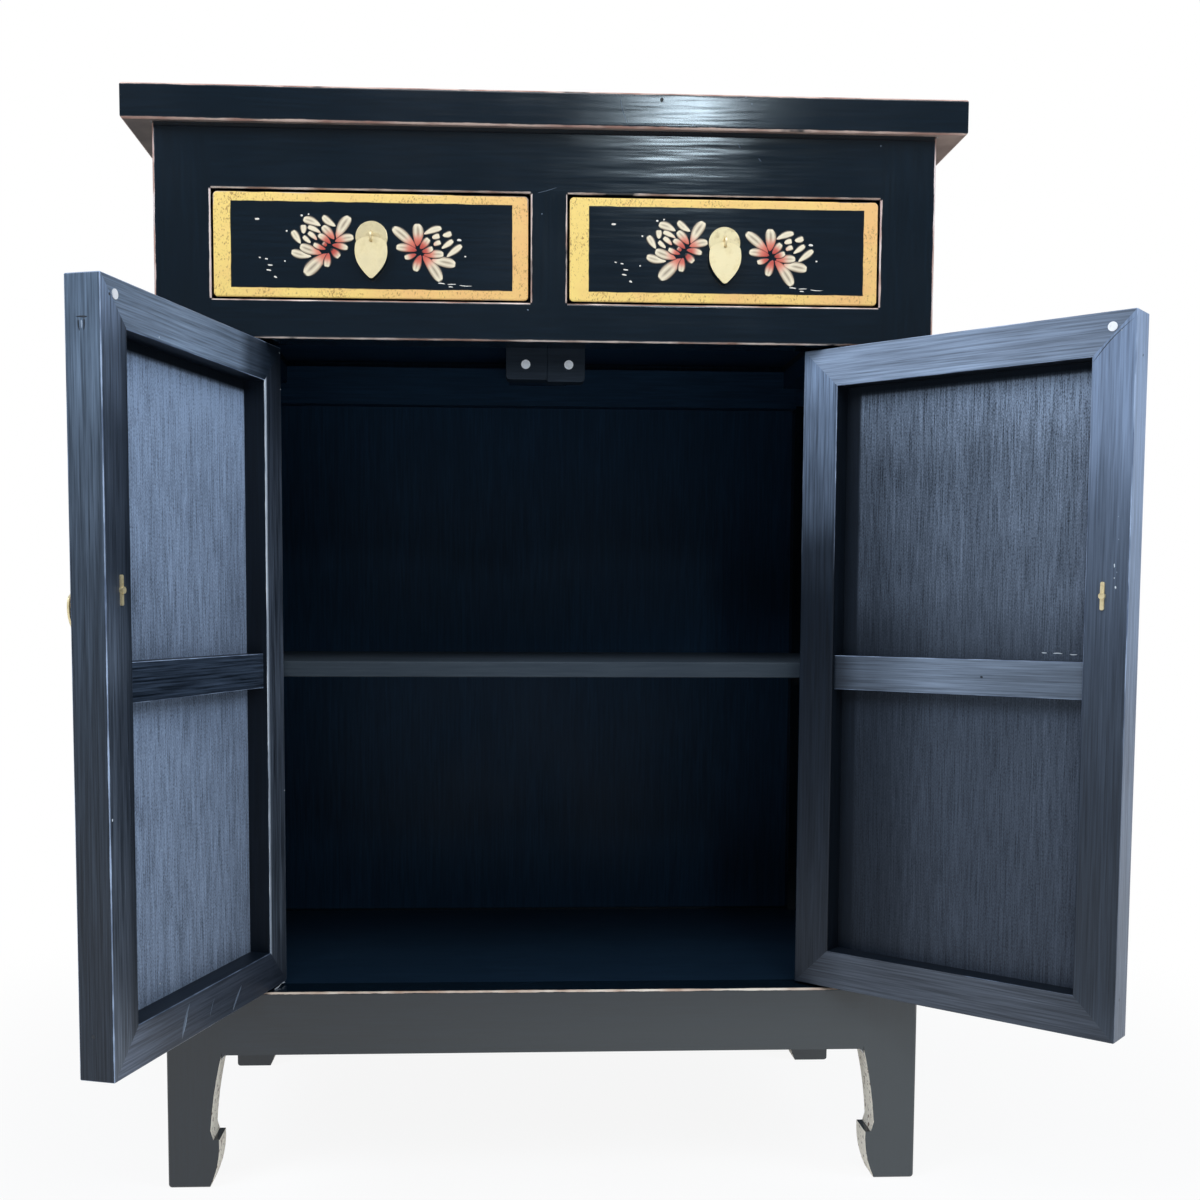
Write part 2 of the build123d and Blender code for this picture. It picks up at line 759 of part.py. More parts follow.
def pull_plate():
    """The round brass back plate."""
    disc = rod_along_y(plate_radius, 0, 0, -plate_thickness, 0)
    front = disc.edges().filter_by(GeomType.CIRCLE).sort_by(Axis.Y)[:1]
    return chamfer(front, plate_edge) - rod_along_y(shank_radius, 0, 0, -2 * plate_thickness, plate_thickness)


def split_pin(wood):
    """The split pin: an eye in front, a shank through the wood, and two legs bent flat behind it."""
    eye_centre = -plate_thickness - eye_radius
    wire = Plane.XZ * Pos(eye_radius, 0) * RegularPolygon(eye_wire_radius, eye_wire_sides)
    eye = Pos(0, eye_centre, 0) * Rot(0, 90, 0) * revolve(wire, Axis.Z)
    shank = rod_along_y(shank_radius, 0, 0, -plate_thickness, wood + leg_thickness)
    legs = block((-leg_width / 2, leg_width / 2), (wood, wood + leg_thickness), (-leg_length, leg_length))
    legs = fillet(legs.edges().filter_by(Axis.Y), leg_width * 0.4)
    knuckle = rod_along_y(leg_width * 0.8, 0, 0, wood, wood + 2 * leg_thickness)
    return eye + shank + legs + knuckle


def pull_drop():
    """The flat brass drop, which hangs on the eye by the hole near its upper edge."""
    edges = []
    for side in (1, -1):
        shoulder = (side * drop_shoulder_width, -drop_length * 0.05)
        widest = (side * drop_half_width, -drop_length * 0.25)
        flank = (side * drop_half_width * 0.92, -drop_length * 0.5)
        taper = (side * drop_half_width * 0.56, -drop_length * 0.78)
        tip_side = (side * drop_tip_width / 2, -drop_length * 0.975)
        edges.append(ThreePointArc((0, drop_top), (side * drop_shoulder_width * 0.6, drop_top * 0.6), shoulder))
        edges.append(Spline(shoulder, widest, flank, taper, tip_side))
        edges.append(ThreePointArc(tip_side, (side * drop_tip_width / 4, -drop_length * 0.994), (0, -drop_length)))
    outline = make_face(edges)
    outline -= Circle(drop_hole_radius)
    body = extrude(Plane.XZ * outline, amount=drop_thickness / 2, both=True)
    return Pos(0, -plate_thickness - eye_radius, -eye_radius) * body


# ---- drawers, drawn closed on the right

def dovetails():
    """The tails of the outer drawer side, let into the back of the drawer front."""
    low = drawer_front_bottom + tenon_shoulder
    pitch = (drawer_rim - low) / dovetail_count
    tails = []
    for i in range(dovetail_count):
        middle = low + pitch * (i + 0.5)
        neck, end = pitch * 0.25, pitch * 0.25 + dovetail_flare
        y_neck, y_end = drawer_front_thickness, drawer_front_thickness - dovetail_length
        outline = make_face(Polyline((y_neck, middle - neck), (y_neck, middle + neck),
                                     (y_end, middle + end), (y_end, middle - end), close=True))
        tail = extrude(Plane.YZ * outline, amount=drawer_side_thickness, dir=(1, 0, 0))
        tails.append(Pos(drawer_outer - drawer_side_thickness, 0, 0) * tail)
    return tails


def drawer_mirror(shape):
    """The piece mirrored about the middle of the right-hand drawer."""
    return mirror(shape, about=Plane.YZ.offset(drawer_middle))


def drawer_bottom():
    z = drawer_floor + drawer_bottom_height
    half = (drawer_outer - drawer_inner) / 2 - drawer_side_thickness + dado_depth
    return block((drawer_middle - half, drawer_middle + half),
                 (drawer_front_thickness - dado_depth, drawer_back), (z, z + drawer_bottom_thickness))


def drawer_back_board():
    """The back of the drawer, which stands on the bottom and is housed in the sides."""
    half = (drawer_outer - drawer_inner) / 2 - drawer_side_thickness + dado_depth
    y = drawer_back - drawer_back_thickness / 2
    return block((drawer_middle - half, drawer_middle + half),
                 (y - drawer_back_thickness, y),
                 (drawer_floor + drawer_bottom_height + drawer_bottom_thickness, drawer_rim))


def drawer_side():
    """The outer side of the right-hand drawer, with its dovetails and its grooves."""
    body = block((drawer_outer - drawer_side_thickness, drawer_outer),
                 (drawer_front_thickness, drawer_back), (drawer_floor, drawer_rim))
    for tail in dovetails():
        body += tail
    return body - drawer_bottom() - drawer_back_board()


def drawer_front():
    body = block((drawer_inner, drawer_outer), (0, drawer_front_thickness),
                 (drawer_front_bottom, drawer_front_top))
    body = fillet(body.edges().filter_by(Axis.Y), drawer_corner_radius)
    face = body.faces().sort_by(Axis.Y)[0]
    body = fillet(face.edges(), drawer_front_radius)
    for tail in dovetails():
        body -= tail
        body -= drawer_mirror(tail)
    body -= drawer_bottom()
    return body - rod_along_y(shank_radius, drawer_middle, drawer_pull_height,
                              -drawer_front_thickness, 2 * drawer_front_thickness)


# ---- placing

def door_turn(side):
    """Turns a closed door's piece to where the door stands open. side is 1 on the right, -1 on the left."""
    angle = right_door_angle if side > 0 else -left_door_angle
    pivot = Pos(side * pivot_x, pivot_from_front, 0)
    return pivot * Rot(0, 0, angle) * pivot.inverse()


def door_corner(side, from_hinge, from_front):
    """The place in plan of a point on an open door, from its hinge edge and its front face."""
    angle = radians(right_door_angle if side > 0 else left_door_angle)
    out = pivot_inset - from_hinge
    back = from_front - pivot_from_front
    x = pivot_x + out * cos(angle) - back * sin(angle)
    y = pivot_from_front + out * sin(angle) + back * cos(angle)
    return side * x, y


def origin():
    """The middle in plan of the whole object as it stands, which becomes the frame's origin."""
    r = door_edge_radius
    right = max(half_top, door_corner(1, door_width - r, r)[0] + r)
    left = min(-half_top, door_corner(-1, door_width - r, r)[0] - r)
    back = door_thickness - r
    front = min(door_corner(-1, door_width - r, back)[1], door_corner(1, door_width - r, back)[1]) - r
    return (left + right) / 2, (front + top_back) / 2


door_pull_x = door_free_edge + door_pull_from_edge


def door_nodes(side):
    """The pieces of one door, standing open."""
    name = 'right_door' if side > 0 else 'left_door'
    bore = rod_along_y(shank_radius, door_pull_x, door_pull_height, -door_thickness, 2 * door_thickness)
    on_door = Pos(door_pull_x, 0, door_pull_height)
    shapes = {
        'hinge_stile': door_stile(True),
        'free_stile': door_stile(False) - bore,
        'top_rail': door_rail(True),
        'bottom_rail': door_rail(False),
        'panel': door_groove(panel_play),
        'batten': door_batten(),
        'pivot_pins': Compound(children=[pivot_pin(False), pivot_pin(True)]),
        'striker': striker(),
        'pull_plate': on_door * Compound(children=[pull_plate(), split_pin(door_thickness)]),
        'pull_drop': on_door * pull_drop(),
    }
    if side < 0:
        shapes = {key: on_left(shape) for key, shape in shapes.items()}
    return {f'{name}_{key}': door_turn(side) * shape for key, shape in shapes.items()}


def drawer_nodes(side):
    """The pieces of one drawer, closed."""
    name = 'right_drawer' if side > 0 else 'left_drawer'
    outer_side = drawer_side()
    on_drawer = Pos(drawer_middle, 0, drawer_pull_height)
    shapes = {
        'front': drawer_front(),
        'sides': Compound(children=[outer_side, drawer_mirror(outer_side)]),
        'back': drawer_back_board(),
        'bottom': drawer_bottom(),
        'pull_plate': on_drawer * Compound(children=[pull_plate(), split_pin(drawer_front_thickness)]),
        'pull_drop': on_drawer * pull_drop(),
    }
    if side < 0:
        shapes = {key: on_left(shape) for key, shape in shapes.items()}
    return {f'{name}_{key}': shape for key, shape in shapes.items()}


def carcass_nodes():
    """The pieces that stand still."""
    post_front, post_back = front_post(), back_post()
    side_runners = pair(side_runner())
    return {
        'front_right_post': post_front,
        'front_left_post': on_left(post_front),
        'back_right_post': post_back,
        'back_left_post': on_left(post_back),
        'front_top_rail': front_top_rail(),
        'front_middle_rail': front_middle_rail(),
        'front_bottom_rail': front_bottom_rail(),
        'drawer_divider': drawer_divider(),
        'side_top_rails': pair(side_rail(top_rail_z)),
        'side_bottom_rails': pair(side_bottom_rail()),
        'right_side_panel': side_panel_blank(panel_play),
        'left_side_panel': on_left(side_panel_blank(panel_play)),
        'back_top_rail': back_rail(top_rail_z),
        'back_middle_rail': back_middle_rail(),
        'back_bottom_rail': back_rail(bottom_rail_z) - floor_board(),
        'back_panel': back_panel_blank(panel_play),
        'floor_board': floor_board(),
        'shelf': shelf(),
        'shelf_cleats': pair(shelf_cleat()),
        'side_runners': side_runners,
        'centre_runner': centre_runner(),
        'top_front_member': top_long_member(True),
        'top_back_member': top_long_member(False),
        'top_end_members': pair(top_end_member()),
        'top_panel': top_panel(),
        'top_battens': pair(batten_blank()),
        'catch_block': catch_block(),
        'catch_magnets': pair(catch_magnet()),
    }


def all_nodes():
    """Every node by name, in the frame of the finished object."""
    nodes = carcass_nodes()
    for side in (-1, 1):
        nodes.update(door_nodes(side))
        nodes.update(drawer_nodes(side))
    x, y = origin()
    return {name: Pos(-x, -y, 0) * shape for name, shape in nodes.items()}


def export_nodes():
    os.makedirs("parts", exist_ok=True)
    for name, shape in all_nodes().items():
        shape.label = name
        export_step(shape, f"parts/{name}.step")


export_nodes()
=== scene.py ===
import bmesh
import bpy
import json
import math
import numpy as np
from functools import partial
from mathutils import Matrix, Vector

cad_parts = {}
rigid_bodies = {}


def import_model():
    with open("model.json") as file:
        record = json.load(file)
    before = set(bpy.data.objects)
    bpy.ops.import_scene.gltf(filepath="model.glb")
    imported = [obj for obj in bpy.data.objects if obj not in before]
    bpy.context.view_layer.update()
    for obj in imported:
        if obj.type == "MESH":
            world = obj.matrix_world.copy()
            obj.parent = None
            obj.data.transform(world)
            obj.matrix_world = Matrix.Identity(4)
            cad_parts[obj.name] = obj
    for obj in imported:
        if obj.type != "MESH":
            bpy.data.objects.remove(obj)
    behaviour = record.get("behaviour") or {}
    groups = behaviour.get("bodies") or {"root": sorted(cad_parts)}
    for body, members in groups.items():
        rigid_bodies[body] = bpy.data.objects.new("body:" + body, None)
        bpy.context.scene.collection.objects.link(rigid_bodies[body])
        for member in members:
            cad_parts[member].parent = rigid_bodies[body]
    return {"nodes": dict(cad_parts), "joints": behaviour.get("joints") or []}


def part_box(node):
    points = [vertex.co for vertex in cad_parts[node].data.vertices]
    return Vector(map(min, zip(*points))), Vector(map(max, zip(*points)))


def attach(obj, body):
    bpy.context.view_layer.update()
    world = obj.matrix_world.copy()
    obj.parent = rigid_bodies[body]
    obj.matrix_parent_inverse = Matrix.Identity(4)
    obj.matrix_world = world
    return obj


for thing in list(bpy.data.objects):  # the cube, lamp and camera of a new file
    bpy.data.objects.remove(thing)
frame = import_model()
nodes = frame["nodes"]
joints = {row["name"]: row for row in frame["joints"]}
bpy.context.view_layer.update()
print("frame loaded:", len(nodes), "nodes")

middleX = (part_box("top_panel")[0].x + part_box("top_panel")[1].x) / 2  # the cabinet's middle line
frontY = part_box("front_top_rail")[0].y                               # the face of the front frame


def standing(right, up, back, place):
    # the matrix of a thing whose own axes lie along three directions
    return Matrix([[right[i], up[i], back[i], place[i]] for i in range(3)] + [[0, 0, 0, 1]])


view = {
    "place": (-0.102303, -1.406059, 0.566360),
    "yaw": 2.648,       # degrees towards +X
    "pitch": -4.037,
    "roll": 0.247,
    "sensor": 36,       # mm
    "lens": 41.456,
    "shift": (0.03371, 0.09044),
}


def makeCamera(view):
    yaw, pitch, roll = (math.radians(view[k]) for k in ("yaw", "pitch", "roll"))
    ahead = np.array([math.sin(yaw) * math.cos(pitch), math.cos(yaw) * math.cos(pitch), math.sin(pitch)])
    level = np.array([math.cos(yaw), -math.sin(yaw), 0.0])
    upward = np.cross(level, ahead)
    right = level * math.cos(roll) + upward * math.sin(roll)
    up = upward * math.cos(roll) - level * math.sin(roll)
    data = bpy.data.cameras.new("camera")
    data.sensor_width = view["sensor"]
    data.lens = view["lens"]
    data.shift_x, data.shift_y = view["shift"]
    camera = bpy.data.objects.new("camera", data)
    camera.matrix_world = standing(right, up, -ahead, view["place"])
    bpy.context.scene.collection.objects.link(camera)
    bpy.context.scene.camera = camera


makeCamera(view)
print("camera placed")


def linear(colour):
    # sRGB hex to linear: c/12.92 below 0.04045, else ((c + 0.055)/1.055)^2.4
    parts = [int(colour[i:i + 2], 16) / 255 for i in (1, 3, 5)]
    return tuple(c / 12.92 if c <= 0.04045 else ((c + 0.055) / 1.055) ** 2.4 for c in parts) + (1.0,)


def setInputs(node, inputs):
    # Each input is linked from a socket or set to a value, a colour from its hex; two inputs may share a pair of
    # values. By number: Math 0 and 1; MapRange 0, from (1, 2) to (3, 4); Mix 0, numbers (2, 3), colours (6, 7).
    for sockets, values in inputs.items():
        pairs = zip(sockets, values) if isinstance(sockets, tuple) else [(sockets, values)]
        for socket, value in pairs:
            if isinstance(value, bpy.types.NodeSocket):
                node.id_data.links.new(value, node.inputs[socket])
            else:
                node.inputs[socket].default_value = linear(value) if isinstance(value, str) else value


def addNode(tree, kind, inputs=None, out=0, **settings):
    # one node with its settings and links; it gives back the output named, or the node where out is None
    node = tree.nodes.new("ShaderNode" + kind)
    for key, value in settings.items():
        setattr(node, key, value)
    setInputs(node, inputs or {})
    return node if out is None else node.outputs[out]


colourMix = {"out": 2, "data_type": "RGBA"}  # a Mix of two colours


def newMaterial(name):
    # the material, addNode for its own tree, and its shader
    material = bpy.data.materials.new(name)
    material.use_nodes = True
    material.node_tree.nodes.clear()
    add = partial(addNode, material.node_tree)
    shader = add("BsdfPrincipled", out=None)
    add("OutputMaterial", {0: shader.outputs[0]}, None)
    return material, add, shader


light = {
    "world": "#c3ced8",       # the room: a pale cool grey
    "worldStrength": 0.24,
    "lamps": {  # place, size, watts, colour
        "overheadSoftbox": ((0.1, -1.5, 2.6), 1.8, 24, "#fbfbff"),
        "leftSoftbox": ((-1.75, -1.25, 2.3), 1.6, 43, "#e3edff"),
        "rightSoftbox": ((1.9, -0.9, 2.25), 1.6, 37, "#e3edff"),
        "ceilingLamp": ((0.34, -2.07, 1.79), 0.2, 3.3, "#dcf2ff"),
    },
    "aim": (0, 0, 0.55),
}


def makeLights(light):
    for name, (place, size, watts, colour) in light["lamps"].items():
        data = bpy.data.lights.new(name, "AREA")
        data.shape = "DISK"
        data.size = size
        data.energy = watts
        data.color = linear(colour)[:3]
        lamp = bpy.data.objects.new(name, data)
        away = np.array(place) - np.array(light["aim"])
        away = away / np.linalg.norm(away)
        side = np.cross((0, 0, 1), away)
        side = side / np.linalg.norm(side)
        lamp.matrix_world = standing(side, np.cross(away, side), away, place)
        bpy.context.scene.collection.objects.link(lamp)
    world = bpy.data.worlds.new("studio")
    bpy.context.scene.world = world
    world.use_nodes = True
    world.node_tree.nodes.clear()
    add = partial(addNode, world.node_tree)
    straight = add("LightPath", out="Is Camera Ray")
    room = add("Background", {0: light["world"], 1: light["worldStrength"]})
    seen = add("Background", {0: (1, 1, 1, 1), 1: 1.0})
    mixed = add("MixShader", {0: straight, 1: room, 2: seen})
    add("OutputWorld", {0: mixed}, None)


makeLights(light)

floorLook = {
    "colour": "#f4f4f2",
    "rough": 0.8,
    "fade": (0.5, 1.3),    # metres from the cabinet between which the floor fades into the backdrop
    "white": (0.91, 1.0),  # share of the backdrop's white at those two distances
    "half": 9.0,           # metres from the middle to the floor's edge
}


def makeFloor(look):
    # matt white studio paper; past the cabinet it fades into the white backdrop
    half = look["half"]
    mesh = bpy.data.meshes.new("floor")
    mesh.from_pydata([(-half, -half, 0), (half, -half, 0), (half, half, 0), (-half, half, 0)], [], [(0, 1, 2, 3)])
    floor = bpy.data.objects.new("floor", mesh)
    bpy.context.scene.collection.objects.link(floor)
    material, add, shader = newMaterial("studioPaperRolled")
    setInputs(shader, {"Base Color": look["colour"], "Roughness": look["rough"]})
    place = add("TexCoord", out="Object")
    away = add("VectorMath", {0: place}, "Value", operation="LENGTH")
    fade = add("MapRange", {0: away, (1, 2): look["fade"], (3, 4): look["white"]},
               interpolation_type="SMOOTHSTEP")
    white = add("Emission", {0: (1, 1, 1, 1), 1: 1.0})
    rays = add("LightPath", out=None).outputs
    sharp = add("Math", {0: rays["Is Camera Ray"], 1: rays["Is Glossy Ray"]}, operation="MAXIMUM")
    part = add("Math", {0: fade, 1: sharp}, operation="MULTIPLY")
    mixed = add("MixShader", {0: part, 1: shader.outputs[0], 2: white})
    setInputs(material.node_tree.nodes["Material Output"], {0: mixed})
    mesh.materials.append(material)


makeFloor(floorLook)
print("lights, backdrop and floor made")


# Lacquered wood: elm under black lacquer, brushed on along each member and rubbed down: near-black blue-grey with
# soft gloss, long brush waves in the highlights, and arrises rubbed through to the pale ground. The doors'
# insides carry a painted sheen with painted shadows, and painted highlights on their arrises.

# colour and streak: the coat and its brush streaks; rough; wave and fine: metres that the waves and streaks
# stand up; size: metres across one streak, length times as long; band: how far one pass of the brush differs
# from the next; brushed: anisotropy; shine: specular level; grain: metres across short grain of a cloth ground
gloss = {"colour": "#08151e", "streak": "#0c1b26", "rough": 0.15, "wave": 0.0003, "fine": 0.000004,
         "size": 0.0022, "length": 22, "band": 0.3, "brushed": 0, "shine": 0.6}
satin = dict(gloss, colour="#182f44", streak="#203c55", rough=0.45, wave=0.0001, fine=0.00001, shine=0.12)
matt = dict(satin, colour="#0a121b", streak="#121c27", rough=0.42, fine=0.000015, size=0.0015, length=50,
            band=0.4, brushed=0.6, shine=0.26)
panelMatt = dict(matt, rough=0.55, fine=0.00004, size=0.0011, length=34, band=0.3, shine=0.18, grain=0.0008)

brush = {
    "streaks": (0.36, 0.68),                # noise at which a streak begins and is full
    "grainLong": 2.5, "grainShare": 0.45,   # length of the short grain over its width, and its share
    "clouds": (0.3, 0.7), "cloudScale": 9.0, "cloudShare": (0.7, 1.15), "cloudRough": (-0.04, 0.05),
    "pass": (0.009, 0.4), "passes": (0.35, 0.65),  # metres across and along one pass of the brush; its noise
    "wave": (0.011, 0.13),                  # metres across and along one wave of the coat
    "inner": (-0.8, -0.5),                  # y of the normal from a door's front coat to its inner coat
}

door = {"width": 313.5, "thickness": 31, "toPivot": 30, "gap": 1}  # mm; gap: free edge to the middle line
doorTurns = {}  # degrees that bring each open door's coordinates back to the closed door, and the hinge's place
for side in ("left", "right"):
    row = joints[side + "_door_hinge"]
    low, high = row["range_deg"]
    shut = low if abs(low) > abs(high) else high
    doorTurns[side] = (shut * row["axis"][2], row["pos_m"])

# Painted sheen and painted shadow on the brushed lacquer of the doors' insides: a pale blue-grey sheen, lighter
# towards the top where the light falls, that drops away sharply where the rails and stiles cast their shadows on
# the panels, and a painted highlight along the recess edge of the left hinge stile. Each row: the face, its
# colour at the top and at the bottom, its amount from the hinge edge (0) to the free edge (1) and from the bottom
# (0) to the top (1), both as stops of (place, amount), and how much the brush streaks break it up.
paintedSheen = {
    "left": {
        "panel": [
            ("inner", "#9cb0ca", "#95a4b8", [(0, 0.84), (0.4, 0.95), (1, 1)],
             [(0, 0.46), (0.08, 0.62), (0.42, 0.68), (0.52, 0.57), (0.75, 0.72), (0.921, 1), (0.929, 0)], 0.85)],
        "hinge_stile": [
            ("inner", "#8c9bb0", "#98a3b0", [(0, 1)], [(0, 0.1), (0.45, 0.16), (0.7, 0.12), (1, 0.02)], 0.9),
            ("inner", "#c6cfd6", "#aeb8c2", [(0.104, 0), (0.109, 1)], [(0, 0.5), (0.5, 0.75), (0.93, 1)], 0.3)],
        "free_stile": [
            ("inner", "#8497b0", "#929ca8", [(0.885, 0.25), (0.93, 0.75), (0.975, 1)],
             [(0, 0.34), (0.15, 0.22), (0.45, 0.18), (0.55, 0.3), (0.65, 0.12), (0.8, 0.15), (0.9, 0.32),
              (1, 0.9)], 0.6),
            ("free", "#76899d", "#7d8794", [(0, 1)],
             [(0, 0.09), (0.4, 0.11), (0.6, 0.2), (0.75, 0.34), (0.92, 0.56), (1, 0.6)], 0.5)],
        "top_rail": [
            ("inner", "#95a8bd", "#95a8bd", [(0.1, 0.03), (0.2, 0.12), (0.3, 0.5), (0.5, 0.66), (1, 0.52)],
             [(0, 1)], 0.4)],
        "bottom_rail": [
            ("inner", "#8a94a4", "#8a94a4", [(0, 0.07), (0.4, 0.13), (0.7, 0.18), (1, 0.42)], [(0, 1)], 0.45)],
        "batten": [
            ("inner", "#8398b3", "#8398b3", [(0, 0.1)], [(0, 1)], 0.9)],
    },
    "right": {
        "panel": [
            ("inner", "#9aabc0", "#848e9e", [(0.158, 0), (0.168, 0.38), (0.5, 0.62), (0.85, 0.9)],
             [(0.55, 0.08), (0.64, 0.3), (0.8, 0.48), (0.925, 0.95), (0.931, 0)], 1),
            ("inner", "#9aabc0", "#848e9e", [(0.12, 0), (0.2, 0.05), (0.5, 0.46), (0.85, 0.52)],
             [(0, 0.17), (0.12, 0.26), (0.45, 0.33), (0.55, 0.32), (0.68, 0.2), (0.8, 0)], 0.55)],
        "hinge_stile": [
            ("inner", "#8fa4bf", "#8a94a2", [(0, 1)],
             [(0, 0.04), (0.6, 0), (0.68, 0.03), (0.78, 0.25), (0.88, 0.38), (1, 0.8)], 0.5)],
        "free_stile": [
            ("inner", "#8a9db8", "#8b97a6", [(0, 1)],
             [(0, 0.14), (0.08, 0.09), (0.3, 0.1), (0.5, 0.17), (0.72, 0.38), (0.88, 0.8), (1, 0.86)], 0.3),
            ("free", "#a2b3cb", "#a9b2bf", [(0, 1)], [(0, 0.4), (0.4, 0.5), (0.65, 0.76), (0.85, 0.92)], 0.3)],
        "top_rail": [
            ("inner", "#a0b2c9", "#a0b2c9", [(0.05, 0.7), (0.5, 0.72), (0.75, 0.54), (1, 0.42)],
             [(0, 1)], 0.38)],
        "bottom_rail": [
            ("inner", "#9aa3b0", "#9aa3b0", [(0, 0.05), (0.2, 0.17), (0.6, 0.2), (1, 0.13)], [(0, 1)], 0.45)],
        "batten": [
            ("inner", "#a7b8cc", "#a7b8cc", [(0.12, 0.03), (0.22, 0.2), (0.45, 0.44), (0.95, 0.26)],
             [(0, 1)], 0.35)],
    },
}

# how the brush streaks and the slow clouds break up the painted sheen, and which part of the normal gets it
sheenLook = {
    "streaks": (0.34, 0.66),
    "slow": (0.3, 1.6), "slowShare": 0.35,  # the slow clouds of the coat break it up less
    "facing": (0.6, 0.85),                  # part of the normal from no bloom to full bloom
}


def grainVector(add, place, along, across, length):
    # Object coordinates pressed together along the grain: across and length are the metres of one streak
    scale = [1 / across] * 3
    scale[along] = 1 / length
    return add("Mapping", {0: place, "Scale": scale})


def patches(add, place, scale, detail, start, full, rough=0.5, least=0.0, most=1.0):
    # noise of so many waves in a metre, least where it is below start and most where it is above full
    noise = add("TexNoise", {0: place, "Scale": scale, "Detail": detail, "Roughness": rough})
    return add("MapRange", {0: noise, 1: start, 2: full, 3: least, 4: most})


def facingMask(add, normal, axis, start, full):
    # 0 to 1 while the part of the normal along an axis goes from start to full
    return add("MapRange", {0: add("SeparateXYZ", {0: normal}, axis), 1: start, 2: full})


def layOver(add, mask, under, over):
    # one coat over another where the mask is 1, each with its colour and roughness
    colour = add("Mix", {0: mask, 6: under[0], 7: over[0]}, **colourMix)
    return colour, add("Mix", {0: mask, 2: under[1], 3: over[1]})


def turnedPlace(add, turn):
    # place and normal in the coordinates of the closed door, or as they are where nothing turns
    source = add("TexCoord", out=None).outputs
    place, normal = source["Object"], source["Normal"]
    if turn:
        degrees, (hx, hy, hz) = turn
        a = math.radians(degrees)
        shift = (hx - hx * math.cos(a) + hy * math.sin(a), hy - hx * math.sin(a) - hy * math.cos(a), 0)
        place = add("Mapping", {0: place, "Location": shift, "Rotation": (0, 0, a)})
        normal = add("Mapping", {0: normal, "Rotation": (0, 0, a)}, vector_type="VECTOR")
    return place, normal


def coatColour(add, place, along, coat):
    # one coat's colour and roughness, its streaks for the bump, and its slow clouds for the painted sheen
    vector = grainVector(add, place, along, coat["size"], coat["size"] * coat["length"])
    streaks = add("TexNoise", {0: vector, "Scale": 1.0, "Detail": 4.0, "Roughness": 0.62})
    if coat.get("grain"):
        vector = grainVector(add, place, along, coat["grain"], coat["grain"] * brush["grainLong"])
        short = add("TexNoise", {0: vector, "Scale": 1.0, "Detail": 2.0})
        streaks = add("Mix", {0: brush["grainShare"], 2: streaks, 3: short})
    clouds = add("TexNoise", {0: place, "Scale": brush["cloudScale"], "Detail": 3.0})
    vector = grainVector(add, place, along, *brush["pass"])
    passes = add("TexNoise", {0: vector, "Scale": 1.0, "Detail": 3.0})
    lift = add("MapRange", {0: streaks, (1, 2): brush["streaks"]})
    slow = add("MapRange", {0: clouds, (1, 2): brush["clouds"], (3, 4): brush["cloudShare"]})
    share = (1 - coat["band"], 1 + coat["band"])
    wide = add("MapRange", {0: passes, (1, 2): brush["passes"], (3, 4): share})
    slow = add("Math", {0: slow, 1: wide}, operation="MULTIPLY")
    lift = add("Math", {0: lift, 1: slow}, operation="MULTIPLY", use_clamp=True)
    colour = add("Mix", {0: lift, 6: coat["colour"], 7: coat["streak"]}, **colourMix)
    roughs = [coat["rough"] + change for change in brush["cloudRough"]]
    return colour, add("MapRange", {0: clouds, (1, 2): brush["clouds"], (3, 4): roughs}), streaks, slow


def paintSheenAndShadow(add, side, place, normal, streaks, slow, colour, row):
    # the painted sheen's amount = across * up * streaks on the one face that it names, in the closed door's
    # coordinates;
    # where the stops fall sharply to 0 they paint a rail's or stile's shadow
    face, top, bottom, acrossStops, upStops, streaky = row
    sign = 1 if side == "right" else -1
    low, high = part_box(side + "_door_hinge_stile")
    edge = abs(doorTurns[side][1][0] - middleX) + door["toPivot"] / 1000
    ends = (middleX + sign * edge, middleX + sign * door["gap"] / 1000)
    parts = add("SeparateXYZ", {0: place}, None).outputs
    across = add("MapRange", {0: parts[0], (1, 2): ends})
    up = add("MapRange", {0: parts[2], 1: low.z, 2: high.z})
    shares = []
    for value, stops in ((across, acrossStops), (up, upStops)):
        node = add("ValToRGB", {0: value}, None)
        ramp = node.color_ramp
        ramp.interpolation = "EASE"
        while len(ramp.elements) < len(stops):
            ramp.elements.new(0.5)
        if len(stops) == 1:
            ramp.elements.remove(ramp.elements[1])
        for element, (where, amount) in zip(ramp.elements, stops):
            element.position = where
            element.color = (amount, amount, amount, 1)
        shares.append(node.outputs[0])
    amount = add("Math", {(0, 1): shares}, operation="MULTIPLY")
    spread = (1 - streaky, 1 + streaky)
    fine = add("MapRange", {0: streaks, (1, 2): sheenLook["streaks"], (3, 4): spread}, clamp=False)
    less = sheenLook["slowShare"] * streaky
    broad = add("MapRange", {0: slow, (1, 2): sheenLook["slow"], (3, 4): (1 - less, 1 + less)})
    fine = add("Math", {0: fine, 1: broad}, operation="MULTIPLY")
    amount = add("Math", {0: amount, 1: fine}, operation="MULTIPLY")
    start, full = sheenLook["facing"]
    if face == "inner":
        on = facingMask(add, normal, 1, start, full)
    else:
        on = facingMask(add, normal, 0, -sign * start, -sign * full)
    amount = add("Math", {0: amount, 1: on}, operation="MULTIPLY", use_clamp=True)
    # the painted sheen's colour, lighter at the top where the light falls
    tint = add("Mix", {0: up, 6: bottom, 7: top}, **colourMix)
    return add("Mix", {0: amount, 6: colour, 7: tint}, **colourMix)


